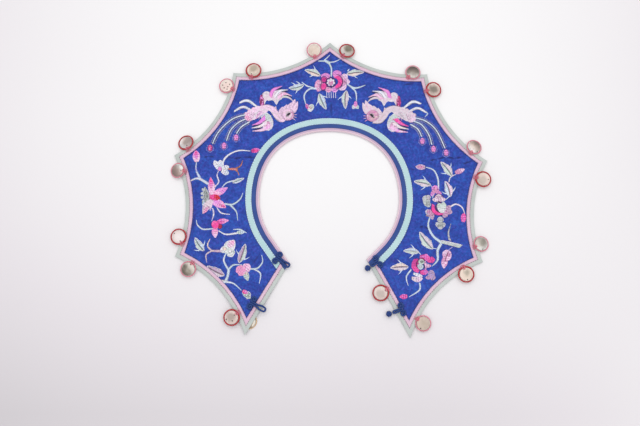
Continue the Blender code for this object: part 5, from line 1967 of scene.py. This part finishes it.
    for silk, width, points in (
        ("white", 0.5, arc((425.2, 198.4), 2.5, 2.7, 110, 280)),
        ("white", 0.5, arc((428.2, 197.4), 2.3, 2.5, 240, 380)),
        ("frost", 0.5, arc((428.4, 204.4), 2.4, 2.7, -40, 150)),
        ("white", 0.6, arc((429, 212), 3.2, 3.0, 110, 250)),
        ("white", 0.5, arc((440.4, 220.4), 3.1, 3.7, 170, 370)),
        ("white", 0.5, arc((438.2, 224.2), 2.5, 2.7, 100, 230)),
        ("white", 0.5, arc((442.8, 224.4), 2.6, 2.7, -50, 80)),
        ("white", 0.5, arc((440.4, 226.2), 2.9, 2.9, 20, 160)),
        ("night", 0.6, arc((421.8, 266.6), 3.2, 2.8, -95, 50)),
        ("wine", 0.6, [(448.8, 251.2), (446.6, 255.6), (445.4, 261.6)]),
        ("dusk", 0.6, [(444.8, 253), (445.8, 257), (443.6, 261.4)]),
        ("lilac", 0.8, [(453, 246.8), (450.4, 248.4), (448, 250.6)]),
        ("white", 0.7, [(441, 240.2), (450, 242), (461, 244.6)]),
    ):
        line(silk, points, width, 1.5)
    each(stroke, (
        ("rose", "magenta", [(433.2, 204.6), (433.9, 210.4), (437.8, 213.6), (443, 214)],
         (2.8, 4.4, 3.8, 1.2), 2),
        ("sage", None, [(443.8, 207.6), (444.4, 210.4), (443.4, 213.4)], (0.8, 1.2, 0.8), 1),
        ("wine", "plum", [(418.8, 259), (416.6, 264.8), (420.6, 270.8)], (0.8, 1.5, 0.8), 1),
        ("wine", None, [(420, 258), (423, 258.2), (425, 260.6)], (0.7, 1.1, 0.8), 1),
    ))


def embroidery():
    """All the motifs, then one piece for every silk that they use."""
    peony()
    phoenixes()
    left_arm()
    right_arm()
    made = []
    for name, stitches in THREADS.items():
        silk = thread_material("silk_" + name, SILKS[name], 0.4, 0.10)
        made.append(stitches.piece("silk_" + name, silk, "silk_thread"))
    return made


# ---- table, light, camera ----
TABLE_BRIGHT = (0.865, 0.865, 0.865, 1.0)
TABLE_TINT = (0.865, 0.827, 0.860, 1.0)     # its colour where it is dimmer
SIDE_FALL, CORNER_FALL = 0.10, 0.23     # how much darker it is at the sides and low on the left
DIM_FROM = 0.10                         # metres from the middle where it begins to dim to the front
TABLE_HALF = 0.33                       # metres from the middle to the image's sides
TABLE_REACH = 4.0                       # metres, far beyond the image
BACKGROUND, BACKGROUND_STRENGTH = (1.0, 0.99, 1.0, 1.0), 0.75
SOFTBOX_PLACE, SOFTBOX_AIM = Vector((0.0, 0.25, 1.8)), Vector((0.0, 0.05, 0.0))
SOFTBOX_SIZE, SOFTBOX_WATTS = 2.8, 22.4


def table_tone(m):
    """The table as the photograph's light leaves it: bright at the back, dimmer low on the left."""
    parts = m.add("SeparateXYZ")
    m.link(m.here(), parts.inputs["Vector"])
    x = m.math("DIVIDE", parts.outputs["X"], TABLE_HALF)
    y = m.math("DIVIDE", m.math("SUBTRACT", DIM_FROM, parts.outputs["Y"]), TABLE_HALF)
    right, down = m.within(x, 0.0, 1.0), m.within(y, 0.0, 1.0)
    left = m.math("SUBTRACT", 1.0, m.times(right, right))
    fall = m.plus(m.times(x, x, SIDE_FALL), m.times(down, down, left, CORNER_FALL))
    fall = m.math("MINIMUM", fall, 0.5)
    tone = m.mix(m.math("MINIMUM", m.times(fall, 6.0), 1.0), TABLE_BRIGHT, TABLE_TINT)
    paper = m.range(m.noise(500.0, 3.0, 0.5), 0.0, 0.01)
    return m.mix(m.plus(m.math("SUBTRACT", 0.995, fall), paper), BLACK, tone)


def stage():
    """A pale table, soft light from all round, and the camera at the photograph's angle."""
    m = Nodes("pale_table")
    m.set(Base_Color=table_tone(m), Roughness=0.75, Specular_IOR_Level=0.2)
    mesh = bpy.data.meshes.new("table")
    square = ((-1, -1), (1, -1), (1, 1), (-1, 1))
    mesh.from_pydata([(x * TABLE_REACH, y * TABLE_REACH, 0) for x, y in square], [], [(0, 1, 2, 3)])
    mesh.materials.append(m.material)
    linked("table", mesh)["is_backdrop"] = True

    scene = bpy.context.scene
    scene.world = bpy.data.worlds.new("studio")
    scene.world.use_nodes = True
    background = scene.world.node_tree.nodes["Background"]
    background.inputs["Color"].default_value = BACKGROUND
    background.inputs["Strength"].default_value = BACKGROUND_STRENGTH
    light = bpy.data.lights.new("softbox_0", "AREA")
    light.size, light.energy = SOFTBOX_SIZE, SOFTBOX_WATTS
    lamp = linked("softbox_0", light)
    lamp.location = SOFTBOX_PLACE
    lamp.rotation_euler = (SOFTBOX_AIM - SOFTBOX_PLACE).to_track_quat("-Z", "Y").to_euler()

    lens = bpy.data.cameras.new("camera")
    lens.lens, lens.sensor_width = LENS, SENSOR
    camera = linked("camera", lens)
    camera.location = (AIM + Vector((0.0, -math.sin(TILT), math.cos(TILT))) * DISTANCE) * MM
    camera.rotation_euler = (TILT, 0.0, 0.0)
    scene.camera = camera
    scene.view_settings.view_transform = "Standard"
    scene.view_settings.look = "None"


def corners(box):
    """A box's two corners as plain lists of numbers."""
    return [[float(v) for v in corner] for corner in box]


# ---- the collar ----
panel = satin_panel()
on_panel = bands() + embroidery() + discs() + frogs()
stage()

{"cad": corners(CAD_BOX), "visual": corners(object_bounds())}
